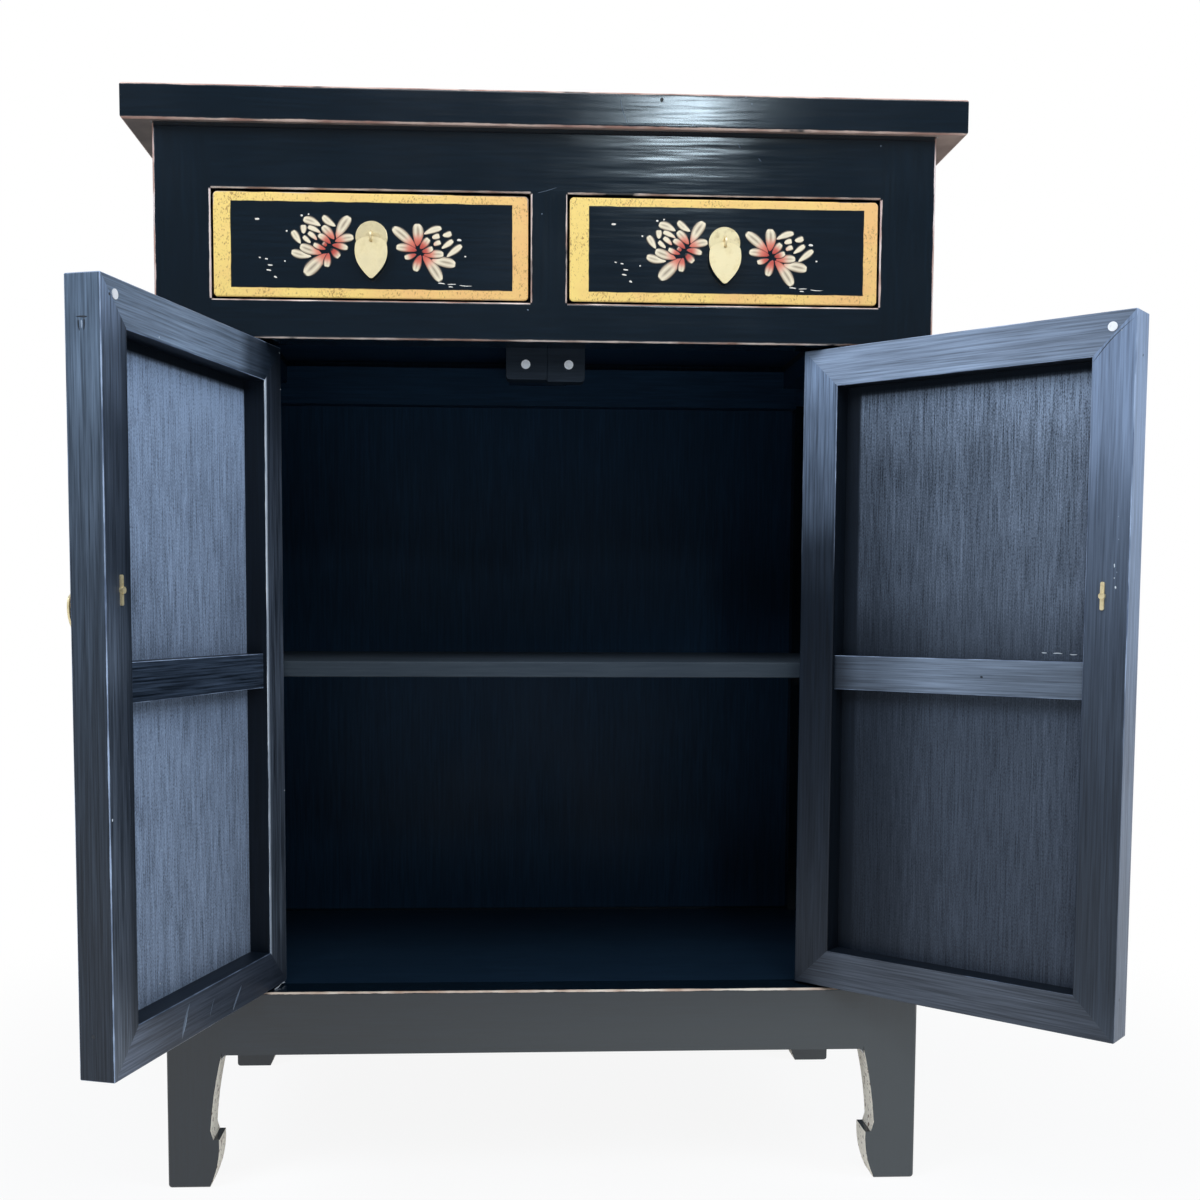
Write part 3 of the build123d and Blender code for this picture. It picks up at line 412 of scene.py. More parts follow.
# from and to: how far from flat the surface is where the wear starts and is full; above: metres below which
# the arrises are kept
rubbed = {"cover": 0.75, "pale": "#e6cdb4", "tan": "#b08a6c", "rough": 0.6, "from": 0.06, "to": 0.13,
          "above": None}
arris = {
    "nibbleScale": 38.0, "nibble": 0.35,         # how far the noise moves the edge of the wear
    "curved": (0.012, 0.03),                     # flat faces stay whole
    "coverNoise": (14.0, 4.0), "coverNone": 0.72, "coverSpan": 0.44, "coverSoft": 0.06,
    "toneNoise": (26.0, 2.0, 0.4, 0.6),
    "aboveSoft": (-0.06, 0.04),                  # metres round the height where it starts
}


def arrisWearAndHighlight(add, place, normal, wearAndHighlight):
    # worn where the surface faces between the axes, on the rounded arrises: 1 - max(|nx|, |ny|, |nz|); on the
    # doors the same mask paints a highlight instead of wear
    size = add("VectorMath", {0: normal}, operation="ABSOLUTE")
    parts = add("SeparateXYZ", {0: size}, None).outputs
    most = add("Math", {0: parts[0], 1: parts[1]}, operation="MAXIMUM")
    most = add("Math", {0: most, 1: parts[2]}, operation="MAXIMUM")
    between = add("Math", {0: 1.0, 1: most}, operation="SUBTRACT")
    nibbles = add("TexNoise", {0: place, "Scale": arris["nibbleScale"], "Detail": 5.0, "Roughness": 0.65})
    nibbles = add("Math", {0: nibbles, 1: 0.5}, operation="SUBTRACT")
    edge = add("Math", {0: nibbles, 1: arris["nibble"], 2: between}, operation="MULTIPLY_ADD")
    mask = add("MapRange", {0: edge, 1: wearAndHighlight["from"], 2: wearAndHighlight["to"]})
    curved = add("MapRange", {0: between, (1, 2): arris["curved"]})
    mask = add("Math", {0: mask, 1: curved}, operation="MULTIPLY")
    limit = arris["coverNone"] - arris["coverSpan"] * wearAndHighlight["cover"]
    cover = patches(add, place, *arris["coverNoise"], limit, limit + arris["coverSoft"])
    mask = add("Math", {0: mask, 1: cover}, operation="MULTIPLY")
    if wearAndHighlight["above"]:
        height = add("SeparateXYZ", {0: place}, 2)
        high = add("MapRange", {0: height, (1, 2): [wearAndHighlight["above"] + soft for soft in arris["aboveSoft"]]})
        mask = add("Math", {0: mask, 1: high}, operation="MULTIPLY")
    tone = patches(add, place, *arris["toneNoise"])
    return mask, add("Mix", {0: tone, 6: wearAndHighlight["tan"], 7: wearAndHighlight["pale"]}, **colourMix)


def lacquer(name, along, coat, wearAndHighlight=None, extra=(), side=None, inner=None, sheenRows=()):
    # along is the grain's axis; inner is a second coat for every face of a door but its front, with a painted
    # sheen and painted shadows from its rows
    material, add, shader = newMaterial(name)
    place, normal = turnedPlace(add, doorTurns.get(side))
    colour, rough, streaks, slow = coatColour(add, place, along, coat)
    if inner:
        back = facingMask(add, normal, 1, *brush["inner"])
        innerColour, innerRough, streaks, slow = coatColour(add, place, along, inner)
        # painted sheen and painted shadows over the doors' inner coat
        for row in sheenRows:
            innerColour = paintSheenAndShadow(add, side, place, normal, streaks, slow, innerColour, row)
        colour, rough = layOver(add, back, (colour, rough), (innerColour, innerRough))
    for layer in extra:
        colour, rough = layer(add, place, normal, (colour, rough))
    if wearAndHighlight:
        mask, arrisTint = arrisWearAndHighlight(add, place, normal, wearAndHighlight)
        colour, rough = layOver(add, mask, (colour, rough), (arrisTint, wearAndHighlight["rough"]))
    body = inner or coat
    vector = grainVector(add, place, along, *brush["wave"])
    waves = add("TexNoise", {0: vector, "Scale": 1.0, "Detail": 2.0})
    low = add("Bump", {"Height": waves, "Strength": 1.0, "Distance": coat["wave"]})
    fine = add("Bump", {"Height": streaks, "Strength": 1.0, "Distance": body["fine"], "Normal": low})
    setInputs(shader, {"Base Color": colour, "Roughness": rough, "Normal": fine,
                       "Specular IOR Level": body["shine"]})
    if body["brushed"]:  # brush lines spread the shine across the grain, which is the tangent's direction
        across = add("CombineXYZ", {2: 1.0})
        if along == 2:
            facing = add("NewGeometry", out="Normal")
            across = add("VectorMath", {0: facing, 1: across}, operation="CROSS_PRODUCT")
        setInputs(shader, {"Tangent": across, "Anisotropic": body["brushed"]})
    return material


gilt = {
    "left": {"middle": (-0.1664, 0.90815), "half": (0.13185, 0.03985)},  # metres: the rectangle left black
    "right": {"middle": (0.1693, 0.90865), "half": (0.13165, 0.0399)},
    "yellow": "#fbd878", "orange": "#f4bf74", "speck": "#96692c", "rough": 0.45,
    "wobble": 0.0004, "soft": (-0.0002, 0.0002),         # metres that the edge wanders, and over which it starts
    "wobbleNoise": (60.0, 2.0, 0.2, 0.8), "facing": (-0.3, -0.6),
    "tone": (0.3, 0.75), "drift": (-0.15, 0.15), "driftTone": (-0.25, 0.25),  # more orange from left to right
    "speckScale": (700, 700, 420), "speckTurn": (0, 0.5, 0), "specks": (0.735, 0.83), "speckShare": (0, 0.75),
    "patch": 0.34,   # how far the specks gather in patches
}


def giltFrame(side):
    # gold powder laid on the drawer front outside a rectangle, with dark specks where it is rubbed
    (mx, mz), (hx, hz) = gilt[side]["middle"], gilt[side]["half"]

    def paint(add, place, normal, coat):
        centred = add("Mapping", {0: place, "Location": (-mx - middleX, 0, -mz)})
        wobble = patches(add, place, *gilt["wobbleNoise"], least=-gilt["wobble"], most=gilt["wobble"])
        size = add("VectorMath", {0: centred}, operation="ABSOLUTE")
        parts = add("SeparateXYZ", {0: size}, None).outputs
        outX = add("Math", {0: parts[0], 1: hx}, operation="SUBTRACT")
        outZ = add("Math", {0: parts[2], 1: hz}, operation="SUBTRACT")
        out = add("Math", {0: outX, 1: outZ}, operation="MAXIMUM")
        out = add("Math", {0: out, 1: wobble}, operation="ADD")
        band = add("MapRange", {0: out, (1, 2): gilt["soft"]})
        front = facingMask(add, normal, 1, *gilt["facing"])
        band = add("Math", {0: band, 1: front}, operation="MULTIPLY")
        tone = add("TexNoise", {0: place, "Scale": 22.0, "Detail": 5.0, "Roughness": 0.6})
        along = add("SeparateXYZ", {0: centred})
        drift = add("MapRange", {0: along, (1, 2): gilt["drift"], (3, 4): gilt["driftTone"]})
        tone = add("Math", {0: tone, 1: drift}, operation="ADD")
        tone = add("MapRange", {0: tone, (1, 2): gilt["tone"]})
        gold = add("Mix", {0: tone, 6: gilt["yellow"], 7: gilt["orange"]}, **colourMix)
        vector = add("Mapping", {0: place, "Scale": gilt["speckScale"], "Rotation": gilt["speckTurn"]})
        specks = add("TexNoise", {0: vector, "Scale": 1.0, "Detail": 3.0, "Roughness": 0.7})
        where = add("TexNoise", {0: place, "Scale": 30.0, "Detail": 2.0})
        specks = add("Math", {0: where, 1: gilt["patch"], 2: specks}, operation="MULTIPLY_ADD")
        specks = add("MapRange", {0: specks, (1, 2): gilt["specks"], (3, 4): gilt["speckShare"]})
        gold = add("Mix", {0: specks, 6: gold, 7: gilt["speck"]}, **colourMix)
        return layOver(add, band, coat, (gold, gilt["rough"]))
    return paint


def bareLegs(add, place, normal, coat):
    # the legs' inner faces below the apron are rubbed back to the cream ground, but not the ledges of the feet
    bare = {"below": (0.1325, 0.1305), "facing": (-0.5, -0.75), "cream": "#fff4de", "dark": "#6b452c",
            "flecks": (170.0, 4.0, 0.55, 0.64, 0.7), "rough": 0.6}
    parts = add("SeparateXYZ", {0: place}, None).outputs
    facing = add("SeparateXYZ", {0: normal})
    offset = add("Math", {0: parts[0], 1: middleX}, operation="SUBTRACT")
    sign = add("Math", {0: offset}, operation="SIGN")
    inward = add("Math", {0: sign, 1: facing}, operation="MULTIPLY")
    inward = add("MapRange", {0: inward, (1, 2): bare["facing"]})
    under = add("MapRange", {0: parts[2], (1, 2): bare["below"]})
    mask = add("Math", {0: inward, 1: under}, operation="MULTIPLY")
    flecks = patches(add, place, *bare["flecks"])
    ground = add("Mix", {0: flecks, 6: bare["cream"], 7: bare["dark"]}, **colourMix)
    return layOver(add, mask, coat, (ground, bare["rough"]))


def legPaintedLight(add, place, normal, coat):
    # painted light: the fronts of the apron and the legs are painted a lighter grey low down, more so to the
    # right, where more light falls on them
    lightening = {"tint": "#5a6060", "heights": (0.26, 0.15), "sides": (-0.3, 0.35), "amounts": (0.12, 0.5),
            "facing": (-0.6, -0.9)}
    parts = add("SeparateXYZ", {0: place}, None).outputs
    low = add("MapRange", {0: parts[2], (1, 2): lightening["heights"]})
    ends = [middleX + x for x in lightening["sides"]]
    share = add("MapRange", {0: parts[0], (1, 2): ends, (3, 4): lightening["amounts"]})
    amount = add("Math", {0: low, 1: share}, operation="MULTIPLY")
    front = facingMask(add, normal, 1, *lightening["facing"])
    amount = add("Math", {0: amount, 1: front}, operation="MULTIPLY")
    return add("Mix", {0: amount, 6: coat[0], 7: lightening["tint"]}, **colourMix), coat[1]


def bareUnderside(add, place, normal, coat):
    # the underside of the top is left as thin brown-grey wash over the wood, painted lighter towards the right
    # where more light falls on it; along the front frame a painted shadow keeps it black
    wash = {"thin": ("#5a4e48", "#8d7367"), "thick": ("#7a6b62", "#b59a8a"),  # each from left to right
            "sides": (-0.39, 0.39), "blackY": (-0.0055, -0.0045), "blackX": (0.371, 0.368), "rough": 0.7,
            "facing": (-0.75, -0.95), "toneNoise": (25.0, 4.0, 0.35, 0.65)}
    mask = facingMask(add, normal, 2, *wash["facing"])
    parts = add("SeparateXYZ", {0: place}, None).outputs
    # painted shadow: the strip of underside next to the front frame, under the overhang
    inwards = add("MapRange", {0: parts[1], (1, 2): [frontY + y for y in wash["blackY"]]})
    offset = add("Math", {0: parts[0], 1: middleX}, operation="SUBTRACT")
    offset = add("Math", {0: offset}, operation="ABSOLUTE")
    over = add("MapRange", {0: offset, (1, 2): wash["blackX"]})
    frontShadow = add("Math", {0: inwards, 1: over}, operation="MULTIPLY")
    mask = add("Math", {0: mask, 1: frontShadow}, operation="SUBTRACT", use_clamp=True)
    tone = patches(add, place, *wash["toneNoise"])
    # painted light: the wash is painted lighter towards the right
    lit = add("MapRange", {0: parts[0], (1, 2): [middleX + x for x in wash["sides"]]})
    washes = [add("Mix", {0: lit, (6, 7): wash[kind]}, **colourMix) for kind in ("thin", "thick")]
    tint = add("Mix", {0: tone, (6, 7): washes}, **colourMix)
    return layOver(add, mask, coat, (tint, wash["rough"]))


def blackBack(add, place, normal, coat):
    # the back panel's outer face has the same near-black coat as the frame round it
    outer = {"colour": "#0a1620", "rough": 0.3, "facing": (0.5, 0.8)}
    mask = facingMask(add, normal, 1, *outer["facing"])
    return layOver(add, mask, coat, (outer["colour"], outer["rough"]))


slabWear = dict(rubbed, cover=0.95, pale="#e3c4b2", tan="#b08474")
openingWear = dict(rubbed, cover=0.85, pale="#ecd6c6", tan="#a07a68")
sillWear = rubbed | {"cover": 1.0, "pale": "#fff0dc", "tan": "#c9a68c", "above": 0.16, "from": 0.02, "to": 0.06}
postWear = rubbed | {"cover": 1.0, "pale": "#f0dcd2", "tan": "#c09a8a", "above": 0.22, "from": 0.03, "to": 0.08}
drawerWear = dict(rubbed, cover=0.35, pale="#c7b29c", tan="#3a2b22")
# painted highlight: the doors' rounded arrises are painted pale blue-grey where they catch the light, with a
# glossier coat; below, where it differs: dimmer on the bottom rails and only on the upper part of two stiles
doorArrisHighlight = dict(rubbed, cover=0.95, pale="#a9bad2", tan="#66748a", rough=0.3)
doorArrisHighlights = {  # where it differs
    "left_hinge_stile": dict(doorArrisHighlight, pale="#d3dae0", tan="#8f9aa6"),
    "right_hinge_stile": dict(doorArrisHighlight, above=0.66),
    "right_free_stile": dict(doorArrisHighlight, above=0.5),
    "left_bottom_rail": dict(doorArrisHighlight, pale="#6d7a8c", tan="#3d4857"),
    "right_bottom_rail": dict(doorArrisHighlight, cover=0.5, pale="#5b6778", tan="#38424f"),
    "left_panel": None, "right_panel": None,
}

lacquers = {  # the grain's axis, the coat, the wear of the arrises, the layers over it
    "railLacquerBrushed": (0, gloss, openingWear),
    "apronLacquerBrushed": (0, gloss, sillWear, [legPaintedLight]),
    "postLacquerBrushed": (2, gloss, postWear, [legPaintedLight, bareLegs]),
    "dividerLacquerBrushed": (2, gloss, openingWear),
    "sideRailLacquerBrushed": (1, gloss, openingWear),
    "panelLacquerBrushed": (2, gloss),
    "slabLacquerLong": (0, gloss, slabWear, [bareUnderside]),
    "slabLacquerEnd": (1, gloss, slabWear, [bareUnderside]),
    "slabPanelLacquer": (0, gloss, None, [bareUnderside]),
    "insideLacquerLong": (0, satin),
    "insideLacquerDeep": (1, satin),
    "backLacquerUpright": (2, satin, None, [blackBack]),
    "floorLacquer": (0, dict(satin, colour="#132332", streak="#182b3c")),
    "shelfLacquer": (0, dict(satin, colour="#343d45", streak="#3f484f")),
    "catchLacquer": (0, dict(satin, colour="#1d252d", streak="#28313b")),
    "leftDrawerGilt": (0, gloss, drawerWear, [giltFrame("left")]),
    "rightDrawerGilt": (0, gloss, drawerWear, [giltFrame("right")]),
}
finishes = {name: lacquer(name, *row) for name, row in lacquers.items()}
# each door piece: its inner coat with painted sheen and shadows, and painted highlights on its arrises
for side in ("left", "right"):
    for piece, sheenRows in paintedSheen[side].items():
        name = side + "_" + piece
        along = 2 if piece in ("panel", "hinge_stile", "free_stile") else 0
        wearAndHighlight, inner = doorArrisHighlights.get(name, doorArrisHighlight), panelMatt if piece == "panel" else matt
        finishes[name] = lacquer(name + "_lacquer", along, gloss, wearAndHighlight, (), side, inner, sheenRows)
print("lacquers made:", len(finishes))

elm = {
    "light": "#c29c6b", "dark": "#8f6a42", "pore": "#6b4c2e", "rough": 0.7,
    "ring": (0.012, 0.3), "rings": (0.35, 0.65),     # metres across and along one growth line; its noise
    "poreSize": (0.001, 0.016), "pores": (0.58, 0.7), "poreDepth": 0.0001,
    # painted shade: the near-black below the drawer bottom, where the drawer sides lie in the cupboard's shade
    "wash": "#0c1a26", "washedBelow": 0.8676,
}


def bareWood(name, along):
    # planed elm, unfinished, with darker pores and growth lines along the board; below the drawer bottom's height
    # it is painted the cupboard's near-black, a painted shade where the drawer sides lie under the drawers
    material, add, shader = newMaterial(name)
    place = add("TexCoord", out="Object")
    vector = grainVector(add, place, along, *elm["ring"])
    rings = add("TexNoise", {0: vector, "Scale": 1.0, "Detail": 3.0, "Distortion": 0.6})
    vector = grainVector(add, place, along, *elm["poreSize"])
    pores = add("TexNoise", {0: vector, "Scale": 1.0, "Detail": 3.0})
    ringMask = add("MapRange", {0: rings, (1, 2): elm["rings"]})
    poreMask = add("MapRange", {0: pores, (1, 2): elm["pores"]})
    colour = add("Mix", {0: ringMask, 6: elm["light"], 7: elm["dark"]}, **colourMix)
    colour = add("Mix", {0: poreMask, 6: colour, 7: elm["pore"]}, **colourMix)
    height = add("SeparateXYZ", {0: place}, 2)
    shaded = add("Math", {0: height, 1: elm["washedBelow"]}, operation="LESS_THAN")
    colour = add("Mix", {0: shaded, 6: colour, 7: elm["wash"]}, **colourMix)
    bump = add("Bump", {"Height": pores, "Strength": 0.6, "Distance": elm["poreDepth"]})
    setInputs(shader, {"Base Color": colour, "Normal": bump, "Roughness": elm["rough"]})
    return material


metals = {  # bright, stained, rough, metallic, scale of the stains; the plate's brass is painted darker than the drop's, a painted shade that sets the drop off from the plate behind it
    "brassSheetHammered": ("#f2e0b0", "#b7a06c", 0.36, 0.55, 160.0),
    "brassSheetPolished": ("#fdeab8", "#e6d29a", 0.4, 0.5, 120.0),
    # painted glint: the magnets and strikers are painted near white and barely metallic, as they shine in the
    # light
    "nickelPlated": ("#ffffff", "#e4e0d2", 0.35, 0.1, 300.0),
    "steelTurned": ("#dfe2e4", "#a9adb0", 0.3, 0.9, 220.0),
}
wrought = {
    "stains": (0.5, 0.75), "stainShare": (0, 0.8), "dull": (0.3, 0.7), "dullRough": (-0.05, 0.1),
    "dentScale": 320.0, "dentDepth": 0.00008,  # one dent in about 3 mm
}


def wroughtMetal(name, bright, stained, rough, metallic, stainScale):
    # hand-cut sheet or wire: soft hammer marks in the reflection and a slight stain
    material, add, shader = newMaterial(name)
    place = add("TexCoord", out="Object")
    stain = add("TexNoise", {0: place, "Scale": stainScale, "Detail": 5.0, "Roughness": 0.65})
    mask = add("MapRange", {0: stain, (1, 2): wrought["stains"], (3, 4): wrought["stainShare"]})
    colour = add("Mix", {0: mask, 6: bright, 7: stained}, **colourMix)
    roughs = [rough + change for change in wrought["dullRough"]]
    dull = add("MapRange", {0: stain, (1, 2): wrought["dull"], (3, 4): roughs})
    dents = add("TexNoise", {0: place, "Scale": wrought["dentScale"], "Detail": 2.0})
    bump = add("Bump", {"Height": dents, "Strength": 1.0, "Distance": wrought["dentDepth"]})
    setInputs(shader, {"Base Color": colour, "Roughness": dull, "Normal": bump, "Metallic": metallic})
    return material


def pigment(name):
    # lacquer thickened with pigment: colour from the stroke's own attribute, with faint bristle lines
    look = {"bristleScale": 700.0, "bristleDepth": 0.00006, "rough": 0.38}
    material, add, shader = newMaterial(name)
    colour = add("Attribute", out="Color", attribute_name="pigment")
    place = add("TexCoord", out="Object")
    bristles = add("TexNoise", {0: place, "Scale": look["bristleScale"], "Detail": 3.0})
    bump = add("Bump", {"Height": bristles, "Strength": 0.5, "Distance": look["bristleDepth"]})
    setInputs(shader, {"Base Color": colour, "Normal": bump, "Roughness": look["rough"]})
    return material


finishes["runnerElmPlaned"] = bareWood("runnerElmPlaned", 1)
finishes["boardElmPlaned"] = bareWood("boardElmPlaned", 0)
for name, row in metals.items():
    finishes[name] = wroughtMetal(name, *row)
finishes["pigmentLacquer"] = pigment("pigmentLacquer")
print("wood, metal and pigment made")

wearers = {  # the CAD nodes of each finish
    "postLacquerBrushed": ["front_left_post", "front_right_post", "back_left_post", "back_right_post"],
    "railLacquerBrushed": ["front_top_rail", "front_middle_rail", "back_top_rail", "back_bottom_rail"],
    "apronLacquerBrushed": ["front_bottom_rail"],
    "dividerLacquerBrushed": ["drawer_divider"],
    "sideRailLacquerBrushed": ["side_top_rails", "side_bottom_rails"],
    "panelLacquerBrushed": ["left_side_panel", "right_side_panel"],
    "backLacquerUpright": ["back_panel"],
    "slabLacquerLong": ["top_front_member", "top_back_member"],
    "slabLacquerEnd": ["top_end_members"],
    "slabPanelLacquer": ["top_panel"],
    "floorLacquer": ["floor_board"],
    "shelfLacquer": ["shelf"],
    "catchLacquer": ["catch_block"],
    "insideLacquerLong": ["back_middle_rail", "shelf_cleats"],
    "insideLacquerDeep": ["side_runners", "centre_runner"],
    "runnerElmPlaned": ["top_battens"],
    "nickelPlated": ["catch_magnets"],
}
hung = {  # the same on both doors and both drawers
    "insideLacquerLong": ["_drawer_bottom"],
    "runnerElmPlaned": ["_drawer_sides"],
    "boardElmPlaned": ["_drawer_back"],
    "nickelPlated": ["_door_striker"],
    "steelTurned": ["_door_pivot_pins"],
    "brassSheetHammered": ["_door_pull_plate", "_drawer_pull_plate"],
    "brassSheetPolished": ["_door_pull_drop", "_drawer_pull_drop"],
}
for side in ("left", "right"):
    for finish, names in hung.items():
        wearers.setdefault(finish, []).extend(side + name for name in names)
    wearers[side + "DrawerGilt"] = [side + "_drawer_front"]
    wearers.update({side + "_" + piece: [side + "_door_" + piece] for piece in paintedSheen[side]})
for finish, names in wearers.items():
    for name in names:
        for i in range(len(nodes[name].data.materials)):
            nodes[name].data.materials[i] = finishes[finish]
print("nodes finished:", sum(map(len, wearers.values())), "of", len(nodes))


# Painted chrysanthemums: raised brush strokes in thick pigment lacquer. Each petal is given from tip to root, in
# mm from the pull, with its width.
flowers = {
    "left": [
        (-20, 19.6, -32.8, -1.6, 10.3), (-16.1, 0, -34.2, -4.2, 7.7), (-21.5, -10.7, -36.9, -7.6, 6.3),
        (-29.6, -19.4, -38.2, -10.9, 6.8), (-42.1, -28.8, -40.2, -14.9, 6.8),
        (-63.1, -35.7, -41.6, -15.6, 12.6), (-75.6, -14.1, -56.3, -18.4, 7.7), (-67.5, -8.7, -46.9, -15.7, 8.7),
        (-55, -6.6, -42.9, -11.7, 4.8), (-46.2, -5.4, -41.9, -8.6, 3.4), (-50.3, 2, -38.2, -6.3, 6.3),
        (-46.1, 10, -34.8, -2.3, 7.7), (-46, 19.2, -33.4, 9.6, 6.8), (-64.1, 16.2, -47.4, 10, 7.7),
        (-60.1, 9.1, -47.4, 3.4, 4.8), (-63.7, 11.3, -63.4, 2.5, 6.2), (-74.1, 5.6, -66.2, -6.8, 6.8),
        (-64.2, 0.5, -56.8, -6, 4.3), (-59.6, 4, -50.9, -3.2, 4.8)],
    "right": [
        (19.3, 9.9, 41.4, -9.1, 9.7), (22.3, -8.5, 42.7, -11.6, 7.7), (30.1, -18.4, 42, -14.9, 5.3),
        (40.7, -31.3, 46.1, -15.5, 7.7), (65.5, -40.2, 48, -16.1, 10.6), (79.7, -24.2, 54.8, -20.6, 9.7),
        (68.3, -14.5, 48.8, -15.5, 7.7), (58.2, -8.7, 46.8, -12.7, 5.8), (54.2, 0.4, 45.4, -10.2, 6.8),
        (42.8, 14.1, 42.7, -7.6, 10.6), (66.3, 9.9, 48.9, 3.7, 6.3), (64.6, 2.6, 56.8, 0.5, 5.3),
        (75.7, 5.4, 66.8, 2.7, 5.8), (65.6, -3.2, 58.2, -6.1, 4.8), (77.1, -1.1, 65.6, -9.3, 5.3),
        (85.1, -5.6, 70.3, -17, 6.3)],
    "hearts": {"left": (-38.9, -10.3), "right": (44.8, -12.7)},
    "shift": {"left": 0, "right": 0.7},  # mm: all flowers of the right drawer sit this far right and up
}

stroke = {
    "widest": 0.62,                       # share of the length from the root
    "blunt": (1.05, 16, 0.3, 0.62),       # width at the root: 1.05 less one for each 16 mm, from 0.3 to 0.62
    "swell": 1.2, "close": (2.2, 0.62),   # powers of the curves to the widest place and from it to the tip
    "start": 0.12,                        # share of the length over which the root's end rounds off
    "bend": (0.05, 2.4),                  # share of the length, and radians from one stroke to the next
}


def strokeTubes(rows, around=28, along=30):
    # closed shells: centre(t) runs from root to tip with a slight bend; half width w(t) grows to its widest and
    # closes to a blunt point; the section is half width * cos(u) across and height * sin(u) up
    rows = np.array(rows, float)
    tip, root, width = rows[:, 0:2], rows[:, 2:4], rows[:, 4, None, None]
    t = np.linspace(0, 1, along)[None, :, None]
    u = np.linspace(0, 2 * np.pi, around, endpoint=False)[None, None, :]
    run = tip - root
    length = np.linalg.norm(run, axis=1)
    ahead = run / length[:, None]
    cross = np.stack([-ahead[:, 1], ahead[:, 0]], 1)
    length = length[:, None, None]
    widest = stroke["widest"]
    most, slope, least, limit = stroke["blunt"]
    blunt = np.clip(most - length / slope, least, limit)
    grow = blunt + (1 - blunt) * np.sin(np.pi / 2 * np.clip(t / widest, 0, 1)) ** stroke["swell"]
    fall, blunting = stroke["close"]
    close = np.clip(1 - (np.clip(t - widest, 0, 1) / (1 - widest)) ** fall, 0, 1) ** blunting
    shape = grow * close * np.sqrt(np.clip(t / stroke["start"], 0, 1))
    share, turn = stroke["bend"]
    bend = share * np.sin(np.arange(len(rows)) * turn)[:, None, None] * length * np.sin(np.pi * t)
    side = width / 2 * shape * np.cos(u) + bend
    x, z = (root[:, i, None, None] + ahead[:, i, None, None] * length * t + cross[:, i, None, None] * side
            for i in (0, 1))
    up = np.sin(u) * np.sqrt(shape + 1e-9) + 0 * side
    return x, z, up, np.cos(u) + 0 * side, t + 0 * side


def cleanShell(mesh):
    # merge the pinched ends, then turn every face outwards
    work = bmesh.new()
    work.from_mesh(mesh)
    bmesh.ops.remove_doubles(work, verts=work.verts, dist=1e-6)
    bmesh.ops.recalc_face_normals(work, faces=work.faces)
    work.to_mesh(mesh)
    work.free()


def strokeMesh(name, body, x, y, z, colours):
    # each stroke is a grid closed round u; its two ends are pinched to one point by the width
    count, along, around = x.shape
    points = np.stack([x, y, z], -1).reshape(-1, 3)
    index = np.arange(count * along * around).reshape(count, along, around)
    a, b = index[:, :-1, :], index[:, 1:, :]
    faces = np.stack([a, b, np.roll(b, -1, 2), np.roll(a, -1, 2)], -1).reshape(-1, 4)
    mesh = bpy.data.meshes.new(name)
    mesh.from_pydata(points.tolist(), [], faces.tolist())
    paint = mesh.color_attributes.new("pigment", "FLOAT_COLOR", "POINT")
    colours = np.concatenate([colours.reshape(-1, 3), np.ones((len(points), 1))], 1)
    paint.data.foreach_set("color", colours.astype(np.float32).ravel())
    mesh.polygons.foreach_set("use_smooth", np.ones(len(faces), bool))
    piece = bpy.data.objects.new(name, mesh)
    bpy.context.scene.collection.objects.link(piece)
    cleanShell(mesh)
    mesh.materials.append(finishes["pigmentLacquer"])
    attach(piece, body)


def smooth(v, low, high):
    k = np.clip((v - low) / (high - low), 0, 1)
    return k * k * (3 - 2 * k)


def blendColour(base, other, share):
    return base + (np.array(linear(other)[:3]) - base) * share[..., None]


petals = {
    # mm: half the height of the thickest stroke, how far all stand off the lacquer, and each one over the last
    "height": 0.18, "lift": 0.04, "step": 0.012,
    "width": 0.94,        # share of the row's width inside the dark outline
    "rimWidth": 0.9, "rimShare": 0.2, "rimAcross": (-0.06, 0.02), "rimAlong": -0.02,
    # Each colour and its strength, then where it starts and where it is full: across the stroke (0 in the middle,
    # 1 at the edge), along it (0 at the root, 1 at the tip), by its width in cm, or in mm from the heart.
    "cream": "#f8e8c6",
    "shade": ("#7c5c42", 0.85), "shadeAcross": (0.35, 0.95), "shadeAlong": (1.0, 0.7),
    "grey": ("#755a40", 0.75), "greyHalf": 0.22, "greyRoot": (0.25, 0.55), "greyTip": (0.98, 0.7),
    "greySize": (0.5, 0.9),
    "salmon": ("#dc6650", 0.9), "salmonNear": (21, 10), "salmonAlong": (0.9, 0.3),
    "red": ("#b8332c", 0.75), "redNear": (12, 4),
    "rim": "#141414", "heartNear": (4.2, 2.2),
}


def pullPlace(drawer):
    # x of the pull's middle and z of its hinge
    low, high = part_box(drawer + "_drawer_pull_plate")
    shift = flowers["shift"][drawer] / 1000
    return (low.x + high.x) / 2 + shift, joints[drawer + "_drawer_drop_hinge"]["pos_m"][2] + shift


